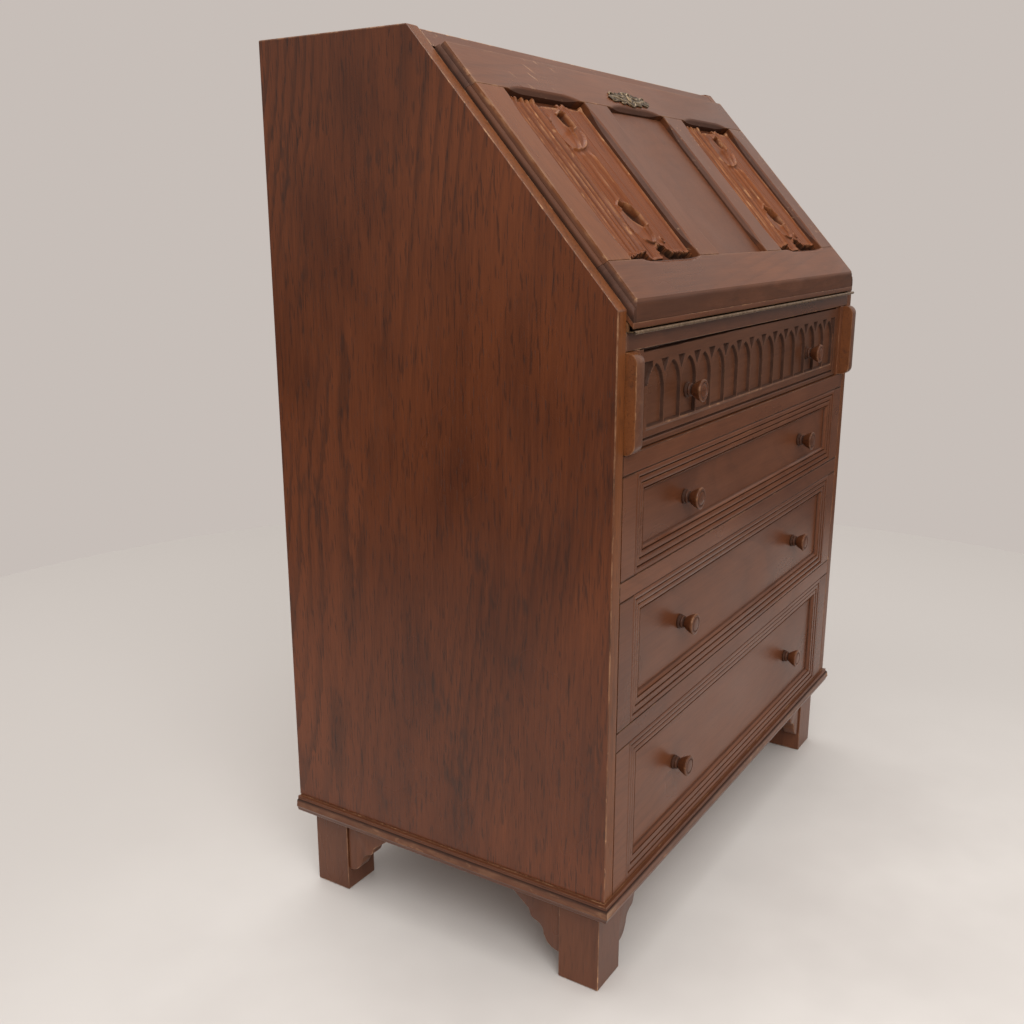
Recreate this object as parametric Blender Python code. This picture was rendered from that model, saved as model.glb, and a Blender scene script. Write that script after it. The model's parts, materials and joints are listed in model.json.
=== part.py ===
# Slant-front bureau in oak: carcass on bracket feet, sloping fall, two lopers, four drawers.
# Metres, +Z up, front towards -Y. Origin on the floor, centred in width and depth.

import math

import bmesh
import bpy
from mathutils import Vector

for existing in list(bpy.data.objects):
    bpy.data.objects.remove(existing, do_unlink=True)

# ---------------------------------------------------------------- driving dimensions
GAP = 0.0003                # clearance between glued pieces
HEIGHT = 1.0                # floor to the top of the side panels
HALF_WIDTH = 0.374          # outside of the side panels
SIDE_THICK = 0.0175
INNER = HALF_WIDTH - SIDE_THICK
FRONT_Y = -0.2085           # carcass front plane
BACK_Y = 0.2225             # carcass back plane
SLOPE_TOP_Y = 0.0268        # where the slope meets the top of the side panels
SLOPE_FOOT_Z = 0.7366       # where the slope meets the front plane
BASE_TOP = 0.1202           # top of the base board and its moulding
BASE_BOTTOM = 0.1005
BACK_PANEL_FACE = 0.2125
INSIDE_BACK = BACK_PANEL_FACE - GAP

TOP_Z = (0.980, 0.997)      # top board, under the side panel corners
BED_Z = (0.6977, 0.7155)    # fixed writing bed
RAIL_Z = {"upper": (0.5783, 0.5984), "middle": (0.4499, 0.4704), "lower": (0.2875, 0.3081)}

LEG = 0.050                 # square leg block
LEG_INSET = 0.012           # leg face behind the carcass face
REAR_LEG_INSET = 0.014
WING_SETBACK = 0.0025       # bracket wing behind the leg face
WING_THICK = 0.018

FALL_HALF = 0.3545
FALL_THICK = 0.0178
FALL_SKIN = 0.0040          # writing board behind the frame
FALL_BAND_Y = -0.2143       # plumb face along the foot of the fall
FALL_FOOT_Z = 0.7190
HINGE_Y = -0.2166
HINGE_Z = 0.7158
BARREL_R = 0.0015
FALL_TOP_U = 0.3451         # distances up the slope from the hinge line
TOP_RAIL_U = 0.2921
BOTTOM_RAIL_U = 0.0706
STILE_X = 0.2985
MUNTIN_X = (0.0775, 0.1315)
PANEL_FACE = 0.0108         # face of the plain panel above the writing side

LOPER_X = (0.3385, 0.3560)
LOPER_Z = (0.5989, 0.6972)
LOPER_REACH = {"left": 0.0115, "right": 0.0140}   # how far each stands out when home
LOPER_BACK = 0.190
LOPER_ROUND = 0.010
GUIDE_X = (0.3265, 0.3380)

DRAWER_Z = {1: (0.5994, 0.6967), 2: (0.4713, 0.5773), 3: (0.3090, 0.4490), 4: (0.1215, 0.2866)}
DRAWER_HALF = {1: 0.3253, 2: 0.3553, 3: 0.3553, 4: 0.3553}
FRONT_THICK = 0.020
FIELD_DEPTH = 0.007         # sunk field and sunk arches behind the front plane
FIELD_HALF = 0.3251
BOX_BACK = 0.190
BOX_WALL = 0.011
BOX_FLOOR = 0.006
KNOB_X = {1: 0.1990, 2: 0.1922, 3: 0.1922, 4: 0.1922}

ARCH_COUNT = 15
ARCH_PITCH = 0.0398
ARCH_HALF = 0.0182
ARCH_FOOT = 0.6185
ARCH_SPRING = 0.6590
ARCH_APEX = 0.6800
SPANDREL_TIP = 0.6710
SPANDREL_TOP = 0.6838
SPANDREL_HALF = 0.0072

GALLERY_Y = (0.040, 0.2120)
GALLERY_Z = (0.7158, 0.9797)
GALLERY_WALL = 0.008
GALLERY_SHELF = 0.800
GALLERY_UPPER = 5
GALLERY_LOWER = 3

SLOPE = math.atan2(HEIGHT - SLOPE_FOOT_Z, SLOPE_TOP_Y - FRONT_Y)

# ---------------------------------------------------------------- finishes
FINISH = {
    "oak": ((0.150, 0.055, 0.026, 1.0), 0.38, 0.0),
    "carved": ((0.185, 0.070, 0.030, 1.0), 0.42, 0.0),
    "inside": ((0.330, 0.200, 0.105, 1.0), 0.60, 0.0),
    "brass": ((0.420, 0.300, 0.120, 1.0), 0.35, 1.0),
}


def finish(name, kind):
    """One Principled material per piece."""
    colour, roughness, metallic = FINISH[kind]
    mat = bpy.data.materials.new(name + "_finish")
    mat.use_nodes = True
    shader = mat.node_tree.nodes["Principled BSDF"]
    shader.inputs["Base Color"].default_value = colour
    shader.inputs["Roughness"].default_value = roughness
    shader.inputs["Metallic"].default_value = metallic
    mat.diffuse_color = colour
    return mat


def solid(name, verts, faces, kind, origin=(0.0, 0.0, 0.0), parent=None, smooth=False):
    """A closed mesh given in the parent's frame, with its own origin."""
    base = Vector(origin)
    mesh = bpy.data.meshes.new(name)
    mesh.from_pydata([tuple(Vector(v) - base) for v in verts], [], faces)
    bm = bmesh.new()
    bm.from_mesh(mesh)
    bmesh.ops.recalc_face_normals(bm, faces=bm.faces)
    bm.to_mesh(mesh)
    bm.free()
    for poly in mesh.polygons:
        poly.use_smooth = smooth
    mesh.materials.append(finish(name, kind))
    obj = bpy.data.objects.new(name, mesh)
    bpy.context.collection.objects.link(obj)
    obj.location = base
    if parent is not None:
        obj.parent = parent
    return obj


def loft(rings, closed=False):
    """Verts and faces through equal rings of points, capped at the ends or closed up."""
    count = len(rings[0])
    verts = [p for ring in rings for p in ring]
    faces = []
    steps = len(rings) if closed else len(rings) - 1
    for i in range(steps):
        j = (i + 1) % len(rings)
        for k in range(count):
            m = (k + 1) % count
            faces.append((i * count + k, i * count + m, j * count + m, j * count + k))
    if not closed:
        faces.append(tuple(range(count)))
        faces.append(tuple((len(rings) - 1) * count + k for k in range(count)))
    return verts, faces


def prism(name, outline, span, axis, kind, **place):
    """A flat outline drawn across one axis and run along it."""
    def point(a, b, c):
        return {"X": (c, a, b), "Y": (a, c, b), "Z": (a, b, c)}[axis]
    rings = [[point(a, b, c) for a, b in outline] for c in span]
    verts, faces = loft(rings)
    return solid(name, verts, faces, kind, **place)


def block(name, x, y, z, kind, **place):
    outline = [(x[0], y[0]), (x[1], y[0]), (x[1], y[1]), (x[0], y[1])]
    return prism(name, outline, z, "Z", kind, **place)


def lattice(name, xs, ys, zs, filled, kind, **place):
    """A solid made of the filled cells of a grid; filled takes the cell's middle point."""
    index = {}
    verts = []
    faces = []

    def corner(i, j, k):
        if (i, j, k) not in index:
            index[(i, j, k)] = len(verts)
            verts.append((xs[i], ys[j], zs[k]))
        return index[(i, j, k)]

    def full(i, j, k):
        if not (0 <= i < len(xs) - 1 and 0 <= j < len(ys) - 1 and 0 <= k < len(zs) - 1):
            return False
        return filled((xs[i] + xs[i + 1]) / 2, (ys[j] + ys[j + 1]) / 2, (zs[k] + zs[k + 1]) / 2)

    sides = [
        ((-1, 0, 0), [(0, 0, 0), (0, 0, 1), (0, 1, 1), (0, 1, 0)]),
        ((1, 0, 0), [(1, 0, 0), (1, 1, 0), (1, 1, 1), (1, 0, 1)]),
        ((0, -1, 0), [(0, 0, 0), (1, 0, 0), (1, 0, 1), (0, 0, 1)]),
        ((0, 1, 0), [(0, 1, 0), (0, 1, 1), (1, 1, 1), (1, 1, 0)]),
        ((0, 0, -1), [(0, 0, 0), (0, 1, 0), (1, 1, 0), (1, 0, 0)]),
        ((0, 0, 1), [(0, 0, 1), (1, 0, 1), (1, 1, 1), (0, 1, 1)]),
    ]
    for i in range(len(xs) - 1):
        for j in range(len(ys) - 1):
            for k in range(len(zs) - 1):
                if not full(i, j, k):
                    continue
                for (di, dj, dk), quad in sides:
                    if not full(i + di, j + dj, k + dk):
                        faces.append(tuple(corner(i + a, j + b, k + c) for a, b, c in quad))
    return solid(name, verts, faces, kind, **place)


def arc(cx, cy, radius, start, end, steps):
    points = []
    for i in range(steps + 1):
        t = math.radians(start + (end - start) * i / steps)
        points.append((cx + radius * math.cos(t), cy + radius * math.sin(t)))
    return points


def frame_at(name, location, rotation=(0.0, 0.0, 0.0)):
    empty = bpy.data.objects.new(name, None)
    empty.empty_display_size = 0.03
    bpy.context.collection.objects.link(empty)
    empty.location = location
    empty.rotation_euler = rotation
    return empty


# ---------------------------------------------------------------- carcass
side_outline = [
    (BACK_Y, BASE_TOP + GAP),
    (FRONT_Y, BASE_TOP + GAP),
    (FRONT_Y, SLOPE_FOOT_Z),
    (SLOPE_TOP_Y, HEIGHT),
    (BACK_Y, HEIGHT),
]
prism("side_left", side_outline, (-HALF_WIDTH, -INNER), "X", "oak", origin=(-HALF_WIDTH, 0.0, BASE_TOP))
prism("side_right", side_outline, (INNER, HALF_WIDTH), "X", "oak", origin=(HALF_WIDTH, 0.0, BASE_TOP))

shelf_half = INNER - GAP


def slope_y(z):
    return SLOPE_TOP_Y - (HEIGHT - z) / math.tan(SLOPE)


top_outline = [
    (BACK_Y - GAP, TOP_Z[0]),
    (slope_y(TOP_Z[0]), TOP_Z[0]),
    (slope_y(TOP_Z[1]), TOP_Z[1]),
    (BACK_Y - GAP, TOP_Z[1]),
]
prism("top_board", top_outline, (-shelf_half, shelf_half), "X", "oak", origin=(0.0, 0.12, TOP_Z[0]))
block("back_panel", (-shelf_half, shelf_half), (BACK_PANEL_FACE, BACK_Y - 0.002),
      (BASE_TOP + GAP, TOP_Z[0] - GAP), "inside", origin=(0.0, BACK_PANEL_FACE, 0.5))
block("base_board", (-HALF_WIDTH, HALF_WIDTH), (FRONT_Y, BACK_Y), (BASE_BOTTOM, BASE_TOP), "oak",
      origin=(0.0, 0.0, BASE_BOTTOM))
block("writing_bed", (-shelf_half, shelf_half), (FRONT_Y, INSIDE_BACK), BED_Z, "oak",
      origin=(0.0, 0.0, BED_Z[0]))
for level, span in RAIL_Z.items():
    block("drawer_rail_" + level, (-shelf_half, shelf_half), (FRONT_Y, INSIDE_BACK), span, "oak",
          origin=(0.0, 0.0, span[0]))
for side, sign in (("left", -1), ("right", 1)):
    x = sorted((sign * GUIDE_X[0], sign * GUIDE_X[1]))
    block("loper_guide_" + side, x, (FRONT_Y, INSIDE_BACK), (RAIL_Z["upper"][1] + GAP, BED_Z[0] - GAP),
          "oak", origin=(sign * GUIDE_X[0], 0.0, RAIL_Z["upper"][1]))

# ---------------------------------------------------------------- base moulding, mitred at the front
# Projection and height: a top bead over a quirk, then a rounded face undercut to the feet.
base_profile = [
    (0.0003, 0.1003), (0.0036, 0.1003), (0.0046, 0.1022), (0.0062, 0.1045), (0.0070, 0.1080),
    (0.0070, 0.1125), (0.0058, 0.1148), (0.0064, 0.1160), (0.0069, 0.1175), (0.0062, 0.1192),
    (0.0042, 0.1200), (0.0003, 0.1200),
]
MITRE_GAP = 0.0002
front_rings = []
for sign in (-1, 1):
    front_rings.append([(sign * (HALF_WIDTH + o - MITRE_GAP), FRONT_Y - o, z) for o, z in base_profile])
verts, faces = loft(front_rings)
solid("base_moulding_front", verts, faces, "oak", origin=(0.0, FRONT_Y, BASE_BOTTOM))
for side, sign in (("left", -1), ("right", 1)):
    front_end = [(sign * (HALF_WIDTH + o), FRONT_Y - o + MITRE_GAP, z) for o, z in base_profile]
    back_end = [(sign * (HALF_WIDTH + o), BACK_Y, z) for o, z in base_profile]
    verts, faces = loft([front_end, back_end])
    solid("base_moulding_" + side, verts, faces, "oak", origin=(sign * HALF_WIDTH, 0.0, BASE_BOTTOM))

# ---------------------------------------------------------------- bracket feet
LEG_TOP = BASE_BOTTOM - GAP
LEG_OUT_X = HALF_WIDTH - LEG_INSET
FRONT_LEG_Y = (FRONT_Y + LEG_INSET, FRONT_Y + LEG_INSET + LEG)
REAR_LEG_Y = (BACK_Y - REAR_LEG_INSET - LEG, BACK_Y - REAR_LEG_INSET)

# Wing seen from outside: reach from the leg block and height above the floor.
wing = [(0.0, LEG_TOP), (0.0, 0.0290)]
wing += arc(0.0010, 0.0480, 0.0193, -84, -20, 4)
wing += arc(0.0335, 0.0455, 0.0125, 185, 105, 3)
wing += arc(0.0305, 0.0665, 0.0085, -70, -5, 3)
wing += [(0.0410, 0.0700), (0.0470, 0.0750), (0.0740, 0.0960), (0.0740, LEG_TOP)]

for side, sign in (("left", -1), ("right", 1)):
    x = sorted((sign * LEG_OUT_X, sign * (LEG_OUT_X - LEG)))
    for end, y in (("front", FRONT_LEG_Y), ("rear", REAR_LEG_Y)):
        block("foot_%s_%s" % (end, side), x, y, (0.0, LEG_TOP), "oak",
              origin=(sign * (LEG_OUT_X - LEG / 2), (y[0] + y[1]) / 2, 0.0))
    face = LEG_OUT_X - WING_SETBACK
    wing_x = sorted((sign * face, sign * (face - WING_THICK)))
    start = FRONT_LEG_Y[1] + GAP
    prism("bracket_side_front_" + side, [(start + u, z) for u, z in wing], wing_x, "X", "oak",
          origin=(sign * face, start, LEG_TOP))
    start = REAR_LEG_Y[0] - GAP
    prism("bracket_side_rear_" + side, [(start - u, z) for u, z in wing], wing_x, "X", "oak",
          origin=(sign * face, start, LEG_TOP))
    start = sign * (LEG_OUT_X - LEG - GAP)
    wing_y = (FRONT_LEG_Y[0] + WING_SETBACK, FRONT_LEG_Y[0] + WING_SETBACK + WING_THICK)
    prism("bracket_front_" + side, [(start - sign * u, z) for u, z in wing], wing_y, "Y", "oak",
          origin=(start, wing_y[0], LEG_TOP))

# ---------------------------------------------------------------- gallery of pigeonholes
half = shelf_half - 0.0005
upper_pitch = (2 * half - GALLERY_WALL) / GALLERY_UPPER
lower_pitch = (2 * half - GALLERY_WALL) / GALLERY_LOWER
upper_walls = [-half + GALLERY_WALL / 2 + upper_pitch * i for i in range(GALLERY_UPPER + 1)]
lower_walls = [-half + GALLERY_WALL / 2 + lower_pitch * i for i in range(GALLERY_LOWER + 1)]
gallery_xs = sorted({round(w + s * GALLERY_WALL / 2, 6) for w in upper_walls + lower_walls for s in (-1, 1)})
gallery_ys = [GALLERY_Y[0], GALLERY_Y[1] - GALLERY_WALL, GALLERY_Y[1]]
gallery_zs = [GALLERY_Z[0], GALLERY_Z[0] + GALLERY_WALL, GALLERY_SHELF, GALLERY_SHELF + GALLERY_WALL,
              GALLERY_Z[1] - GALLERY_WALL, GALLERY_Z[1]]


def gallery_wood(x, y, z):
    if y > GALLERY_Y[1] - GALLERY_WALL:
        return True
    if z < gallery_zs[1] or z > gallery_zs[4] or gallery_zs[2] < z < gallery_zs[3]:
        return True
    walls = upper_walls if z > GALLERY_SHELF else lower_walls
    return any(abs(x - w) < GALLERY_WALL / 2 for w in walls)


lattice("pigeonhole_gallery", gallery_xs, gallery_ys, gallery_zs, gallery_wood, "inside",
        origin=(0.0, GALLERY_Y[0], GALLERY_Z[0]))

# ---------------------------------------------------------------- long brass hinge, fixed side
leaf_low = BED_Z[1] + GAP - HINGE_Z
leaf_high = leaf_low + 0.0008
turn_low = math.degrees(math.asin(leaf_low / BARREL_R))
turn_high = math.degrees(math.asin(leaf_high / BARREL_R))
barrel = arc(HINGE_Y, HINGE_Z, BARREL_R, turn_high, 360 + turn_low, 14)
leaf_outline = barrel + [(-0.1960, HINGE_Z + leaf_low), (-0.1960, HINGE_Z + leaf_high)]
prism("hinge_bed_leaf", leaf_outline, (-0.350, 0.350), "X", "brass", origin=(0.0, HINGE_Y, HINGE_Z))

# ---------------------------------------------------------------- fall: Y up the slope, Z outwards
fall = frame_at("fall_frame", (0.0, HINGE_Y, HINGE_Z), (SLOPE, 0.0, 0.0))
FRAME_BACK = FALL_SKIN + GAP
cos_s = math.cos(SLOPE)
sin_s = math.sin(SLOPE)


def band_u(w):
    """Distance up the slope at which depth w reaches the plumb face."""
    return (FALL_BAND_Y - HINGE_Y + w * sin_s) / cos_s


foot_y = FALL_BAND_Y - HINGE_Y
foot_z = FALL_FOOT_Z - HINGE_Z
foot_tip = (foot_y * cos_s + foot_z * sin_s, foot_z * cos_s - foot_y * sin_s)
skin_outline = [
    (foot_z / sin_s, 0.0), foot_tip, (band_u(FALL_SKIN), FALL_SKIN),
    (FALL_TOP_U - GAP, FALL_SKIN), (FALL_TOP_U - GAP, 0.0),
]
prism("fall_writing_board", skin_outline, (-FALL_HALF + GAP, FALL_HALF - GAP), "X", "inside",
      origin=(0.0, 0.0, 0.0), parent=fall)
bottom_outline = [
    (band_u(FRAME_BACK), FRAME_BACK), (band_u(FALL_THICK), FALL_THICK),
    (BOTTOM_RAIL_U - GAP, FALL_THICK), (BOTTOM_RAIL_U - GAP, FRAME_BACK),
]
prism("fall_bottom_rail", bottom_outline, (-FALL_HALF, FALL_HALF), "X", "oak", parent=fall)
frame_z = (FRAME_BACK, FALL_THICK)
block("fall_top_rail", (-FALL_HALF, FALL_HALF), (TOP_RAIL_U, FALL_TOP_U), frame_z, "oak", parent=fall)
upright_u = (BOTTOM_RAIL_U, TOP_RAIL_U - GAP)
for side, sign in (("left", -1), ("right", 1)):
    x = sorted((sign * STILE_X, sign * FALL_HALF))
    block("fall_stile_" + side, x, upright_u, frame_z, "oak", parent=fall)
    x = sorted((sign * MUNTIN_X[0], sign * MUNTIN_X[1]))
    block("fall_muntin_" + side, x, upright_u, frame_z, "oak", parent=fall)

panel_u = (BOTTOM_RAIL_U + GAP, TOP_RAIL_U - 2 * GAP)
block("fall_panel_centre", (-MUNTIN_X[0] + GAP, MUNTIN_X[0] - GAP), panel_u, (FRAME_BACK, PANEL_FACE),
      "oak", parent=fall)

# Linenfold section, as fractions of the half width and depths above the writing side.
fold_half = [
    (1.00, 0.0085), (0.96, 0.0110), (0.90, 0.0112), (0.86, 0.0150), (0.80, 0.0128), (0.74, 0.0156),
    (0.67, 0.0130), (0.61, 0.0158), (0.54, 0.0132), (0.48, 0.0156), (0.40, 0.0125), (0.22, 0.0118),
    (0.14, 0.0150), (0.06, 0.0120),
]
for side, sign in (("left", -1), ("right", 1)):
    middle = sign * (MUNTIN_X[1] + STILE_X) / 2
    reach = (STILE_X - MUNTIN_X[1]) / 2 - GAP
    crest = [(middle - f * reach, d) for f, d in fold_half]
    crest += [(middle + f * reach, d) for f, d in reversed(fold_half)]
    outline = [(middle + reach, FRAME_BACK), (middle - reach, FRAME_BACK)] + crest
    rings = [[(x, u, d) for x, d in outline] for u in panel_u]
    verts, faces = loft(rings)
    solid("fall_panel_" + side, verts, faces, "carved", origin=(middle, 0.0, 0.0), parent=fall)

# Escutcheon: half outline in millimetres from its middle, mirrored.
scroll = [
    (0.0, -13.0), (4.0, -9.0), (8.0, -8.5), (12.0, -10.0), (17.0, -6.0), (24.0, -7.5), (30.0, -5.5),
    (36.0, -7.0), (43.0, -4.5), (50.0, -5.0), (54.0, -1.0), (50.0, 2.0), (45.0, 1.5), (41.0, 5.0),
    (34.0, 4.0), (29.0, 8.0), (21.0, 6.5), (16.0, 9.5), (9.0, 8.0), (5.0, 12.0), (0.0, 10.5),
]
outline = [(x / 1000.0, 0.3095 + y / 1000.0) for x, y in scroll]
outline += [(-x, y) for x, y in reversed(outline[1:-1])]
prism("escutcheon", outline, (FALL_THICK + GAP, FALL_THICK + 0.0018), "Z", "brass",
      origin=(0.0, 0.3095, FALL_THICK), parent=fall)
block("hinge_fall_leaf", (-0.350, 0.350), (0.0042, 0.0200), (-0.0011, -GAP), "brass", parent=fall)

# ---------------------------------------------------------------- lopers
for side, sign in (("left", -1), ("right", 1)):
    x = sorted((sign * LOPER_X[0], sign * LOPER_X[1]))
    nose = FRONT_Y - LOPER_REACH[side]
    outline = arc(nose + LOPER_ROUND, LOPER_Z[0] + LOPER_ROUND, LOPER_ROUND, 270, 180, 4)
    outline += arc(nose + LOPER_ROUND, LOPER_Z[1] - LOPER_ROUND, LOPER_ROUND, 180, 90, 4)
    outline += [(LOPER_BACK, LOPER_Z[1]), (LOPER_BACK, LOPER_Z[0])]
    slide = frame_at("loper_%s_frame" % side, (sign * sum(LOPER_X) / 2, nose, sum(LOPER_Z) / 2))
    shifted = [(y - slide.location.y, z - slide.location.z) for y, z in outline]
    span = [v - slide.location.x for v in x]
    prism("loper_" + side, shifted, span, "X", "oak", parent=slide)

# ---------------------------------------------------------------- drawers
knob_profile = [
    (0.0000, 0.0080), (0.0012, 0.0090), (0.0036, 0.0090), (0.0048, 0.0076), (0.0062, 0.0056),
    (0.0080, 0.0050), (0.0098, 0.0060), (0.0140, 0.0092), (0.0175, 0.0118), (0.0192, 0.0125),
    (0.0203, 0.0119), (0.0207, 0.0106),
]
KNOB_SIDES = 16


def knob(name, x, z, seat, parent):
    rings = []
    for out, radius in knob_profile:
        ring = []
        for i in range(KNOB_SIDES):
            t = 2 * math.pi * i / KNOB_SIDES
            ring.append((x + radius * math.cos(t), seat - out, z + radius * math.sin(t)))
        rings.append(ring)
    verts, faces = loft(rings)
    return solid(name, verts, faces, "carved", origin=(x, seat, z), parent=parent, smooth=True)


# Frame moulding: width from the outer edge inwards, height above the sunk field.
mould_profile = [
    (0.0000, 0.0003), (0.0000, 0.0070), (0.0012, 0.0080), (0.0040, 0.0080), (0.0056, 0.0064),
    (0.0072, 0.0072), (0.0108, 0.0070), (0.0124, 0.0052), (0.0140, 0.0062), (0.0172, 0.0058),
    (0.0188, 0.0040), (0.0205, 0.0048), (0.0232, 0.0036), (0.0250, 0.0010), (0.0250, 0.0003),
]

for number, (low, high) in DRAWER_Z.items():
    reach = DRAWER_HALF[number]
    body = frame_at("drawer_%d_frame" % number, (0.0, FRONT_Y, low))
    height = high - low
    label = "drawer_%d_" % number
    if number == 1:
        front = block(label + "front", (-reach, reach), (0.0, FRONT_THICK), (0.0, height), "carved",
                      parent=body)
        cut_verts = []
        cut_faces = []
        pockets = []
        for i in range(ARCH_COUNT):
            centre = (i - (ARCH_COUNT - 1) / 2) * ARCH_PITCH
            rise = ARCH_APEX - ARCH_SPRING
            radius = (ARCH_HALF ** 2 + rise ** 2) / (2 * ARCH_HALF)
            swing = math.degrees(math.asin(rise / radius))
            right = arc(centre + ARCH_HALF - radius, ARCH_SPRING, radius, 0, swing, 4)
            left = [(2 * centre - px, pz) for px, pz in reversed(right[:-1])]
            pockets.append([(centre - ARCH_HALF, ARCH_FOOT), (centre + ARCH_HALF, ARCH_FOOT)] + right + left)
        for i in range(1, ARCH_COUNT):
            centre = (i - ARCH_COUNT / 2) * ARCH_PITCH
            pockets.append([
                (centre, SPANDREL_TIP),
                (centre + SPANDREL_HALF, SPANDREL_TOP),
                (centre - SPANDREL_HALF, SPANDREL_TOP),
            ])
        for outline in pockets:
            rings = [[(px, py, pz - low) for px, pz in outline] for py in (-0.002, FIELD_DEPTH)]
            verts, faces = loft(rings)
            shift = len(cut_verts)
            cut_verts += verts
            cut_faces += [tuple(v + shift for v in f) for f in faces]
        cutter = solid("arcade_cutter", cut_verts, cut_faces, "carved", parent=body)
        carve = front.modifiers.new("arcade", "BOOLEAN")
        carve.operation = "DIFFERENCE"
        carve.solver = "EXACT"
        carve.object = cutter
        cutter.hide_render = True
        cutter.display_type = "WIRE"
    else:
        xs = [-reach, -FIELD_HALF, FIELD_HALF, reach]
        ys = [0.0, FIELD_DEPTH, FRONT_THICK]
        lattice(label + "front", xs, ys, [0.0, height],
                lambda x, y, z: y > FIELD_DEPTH or abs(x) > FIELD_HALF, "oak", parent=body)
        rings = []
        for sx, sz in ((-1, 0), (1, 0), (1, 1), (-1, 1)):
            ring = []
            for inward, rise in mould_profile:
                px = sx * (FIELD_HALF - GAP - inward)
                pz = inward if sz == 0 else height - inward
                ring.append((px, FIELD_DEPTH - rise, pz))
            rings.append(ring)
        verts, faces = loft(rings, closed=True)
        solid(label + "moulding", verts, faces, "oak", parent=body)
    box_half = reach - 0.0030
    back = BOX_BACK - FRONT_Y
    xs = [-box_half, -box_half + BOX_WALL, box_half - BOX_WALL, box_half]
    ys = [FRONT_THICK + GAP, back - BOX_WALL, back]
    zs = [0.0, BOX_FLOOR, height - 0.006]
    lattice(label + "box", xs, ys, zs,
            lambda x, y, z: z < BOX_FLOOR or abs(x) > xs[2] or y > ys[1], "inside", parent=body)
    knob_z = height / 2 if number != 1 else 0.6430 - low
    for side, sign in (("left", -1), ("right", 1)):
        knob(label + "knob_" + side, sign * KNOB_X[number], knob_z, FIELD_DEPTH - GAP, body)
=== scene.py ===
# Looks of the slant-front bureau: carved and moulded oak, turned knobs, brasswork, stage and camera.
# Metres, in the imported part's own frame: +Z up, front towards -Y.

import json
import math

import bmesh
import bpy
import numpy as np
from mathutils import Euler, Matrix, Vector


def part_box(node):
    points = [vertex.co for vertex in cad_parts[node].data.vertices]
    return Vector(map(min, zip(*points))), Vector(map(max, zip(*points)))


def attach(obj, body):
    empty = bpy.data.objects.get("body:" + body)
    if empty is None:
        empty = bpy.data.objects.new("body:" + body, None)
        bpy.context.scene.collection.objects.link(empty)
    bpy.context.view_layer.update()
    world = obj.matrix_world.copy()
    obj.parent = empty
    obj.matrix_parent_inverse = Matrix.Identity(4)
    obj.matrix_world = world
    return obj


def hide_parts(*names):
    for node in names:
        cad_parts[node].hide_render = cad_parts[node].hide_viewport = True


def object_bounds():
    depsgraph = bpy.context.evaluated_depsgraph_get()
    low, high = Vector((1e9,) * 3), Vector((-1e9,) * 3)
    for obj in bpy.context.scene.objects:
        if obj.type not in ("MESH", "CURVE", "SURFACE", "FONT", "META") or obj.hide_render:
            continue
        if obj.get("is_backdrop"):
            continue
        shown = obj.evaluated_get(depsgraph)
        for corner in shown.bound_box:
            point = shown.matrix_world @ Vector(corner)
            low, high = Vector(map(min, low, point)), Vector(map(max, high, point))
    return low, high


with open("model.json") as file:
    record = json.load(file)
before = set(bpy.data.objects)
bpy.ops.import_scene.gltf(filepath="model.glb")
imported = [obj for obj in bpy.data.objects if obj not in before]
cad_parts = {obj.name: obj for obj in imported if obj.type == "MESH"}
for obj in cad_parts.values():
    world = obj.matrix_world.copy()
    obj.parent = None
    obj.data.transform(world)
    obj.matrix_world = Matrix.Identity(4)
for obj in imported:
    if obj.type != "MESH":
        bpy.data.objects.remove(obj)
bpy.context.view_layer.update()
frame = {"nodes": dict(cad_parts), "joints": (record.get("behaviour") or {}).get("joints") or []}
nodes = frame["nodes"]
SIDES = (("left", -1), ("right", 1))

# ---- sizes read from the frame
side_points = [v.co for v in nodes["side_left"].data.vertices]
FRONT_Y = min(p.y for p in side_points)
BACK_Y = max(p.y for p in side_points)
HEIGHT = max(p.z for p in side_points)
HALF_WIDTH = max(abs(p.x) for p in side_points)
SLOPE_FOOT_Z = max(p.z for p in side_points if p.y < FRONT_Y + 1e-4)
SLOPE_TOP_Y = min(p.y for p in side_points if p.z > HEIGHT - 1e-4)
SLOPE = math.atan2(HEIGHT - SLOPE_FOOT_Z, SLOPE_TOP_Y - FRONT_Y)
HINGE = Vector(next(j for j in frame["joints"] if j["name"] == "fall_hinge")["pos_m"])
FALL = Matrix.Translation(HINGE) @ Matrix.Rotation(SLOPE, 4, "X")


def fall_box(name):
    """Lowest and highest corner of a fall node in the fall's own frame: X, up the slope, outwards."""
    back = FALL.inverted()
    local = np.array([back @ v.co for v in nodes[name].data.vertices])
    return local.min(0), local.max(0)


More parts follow.
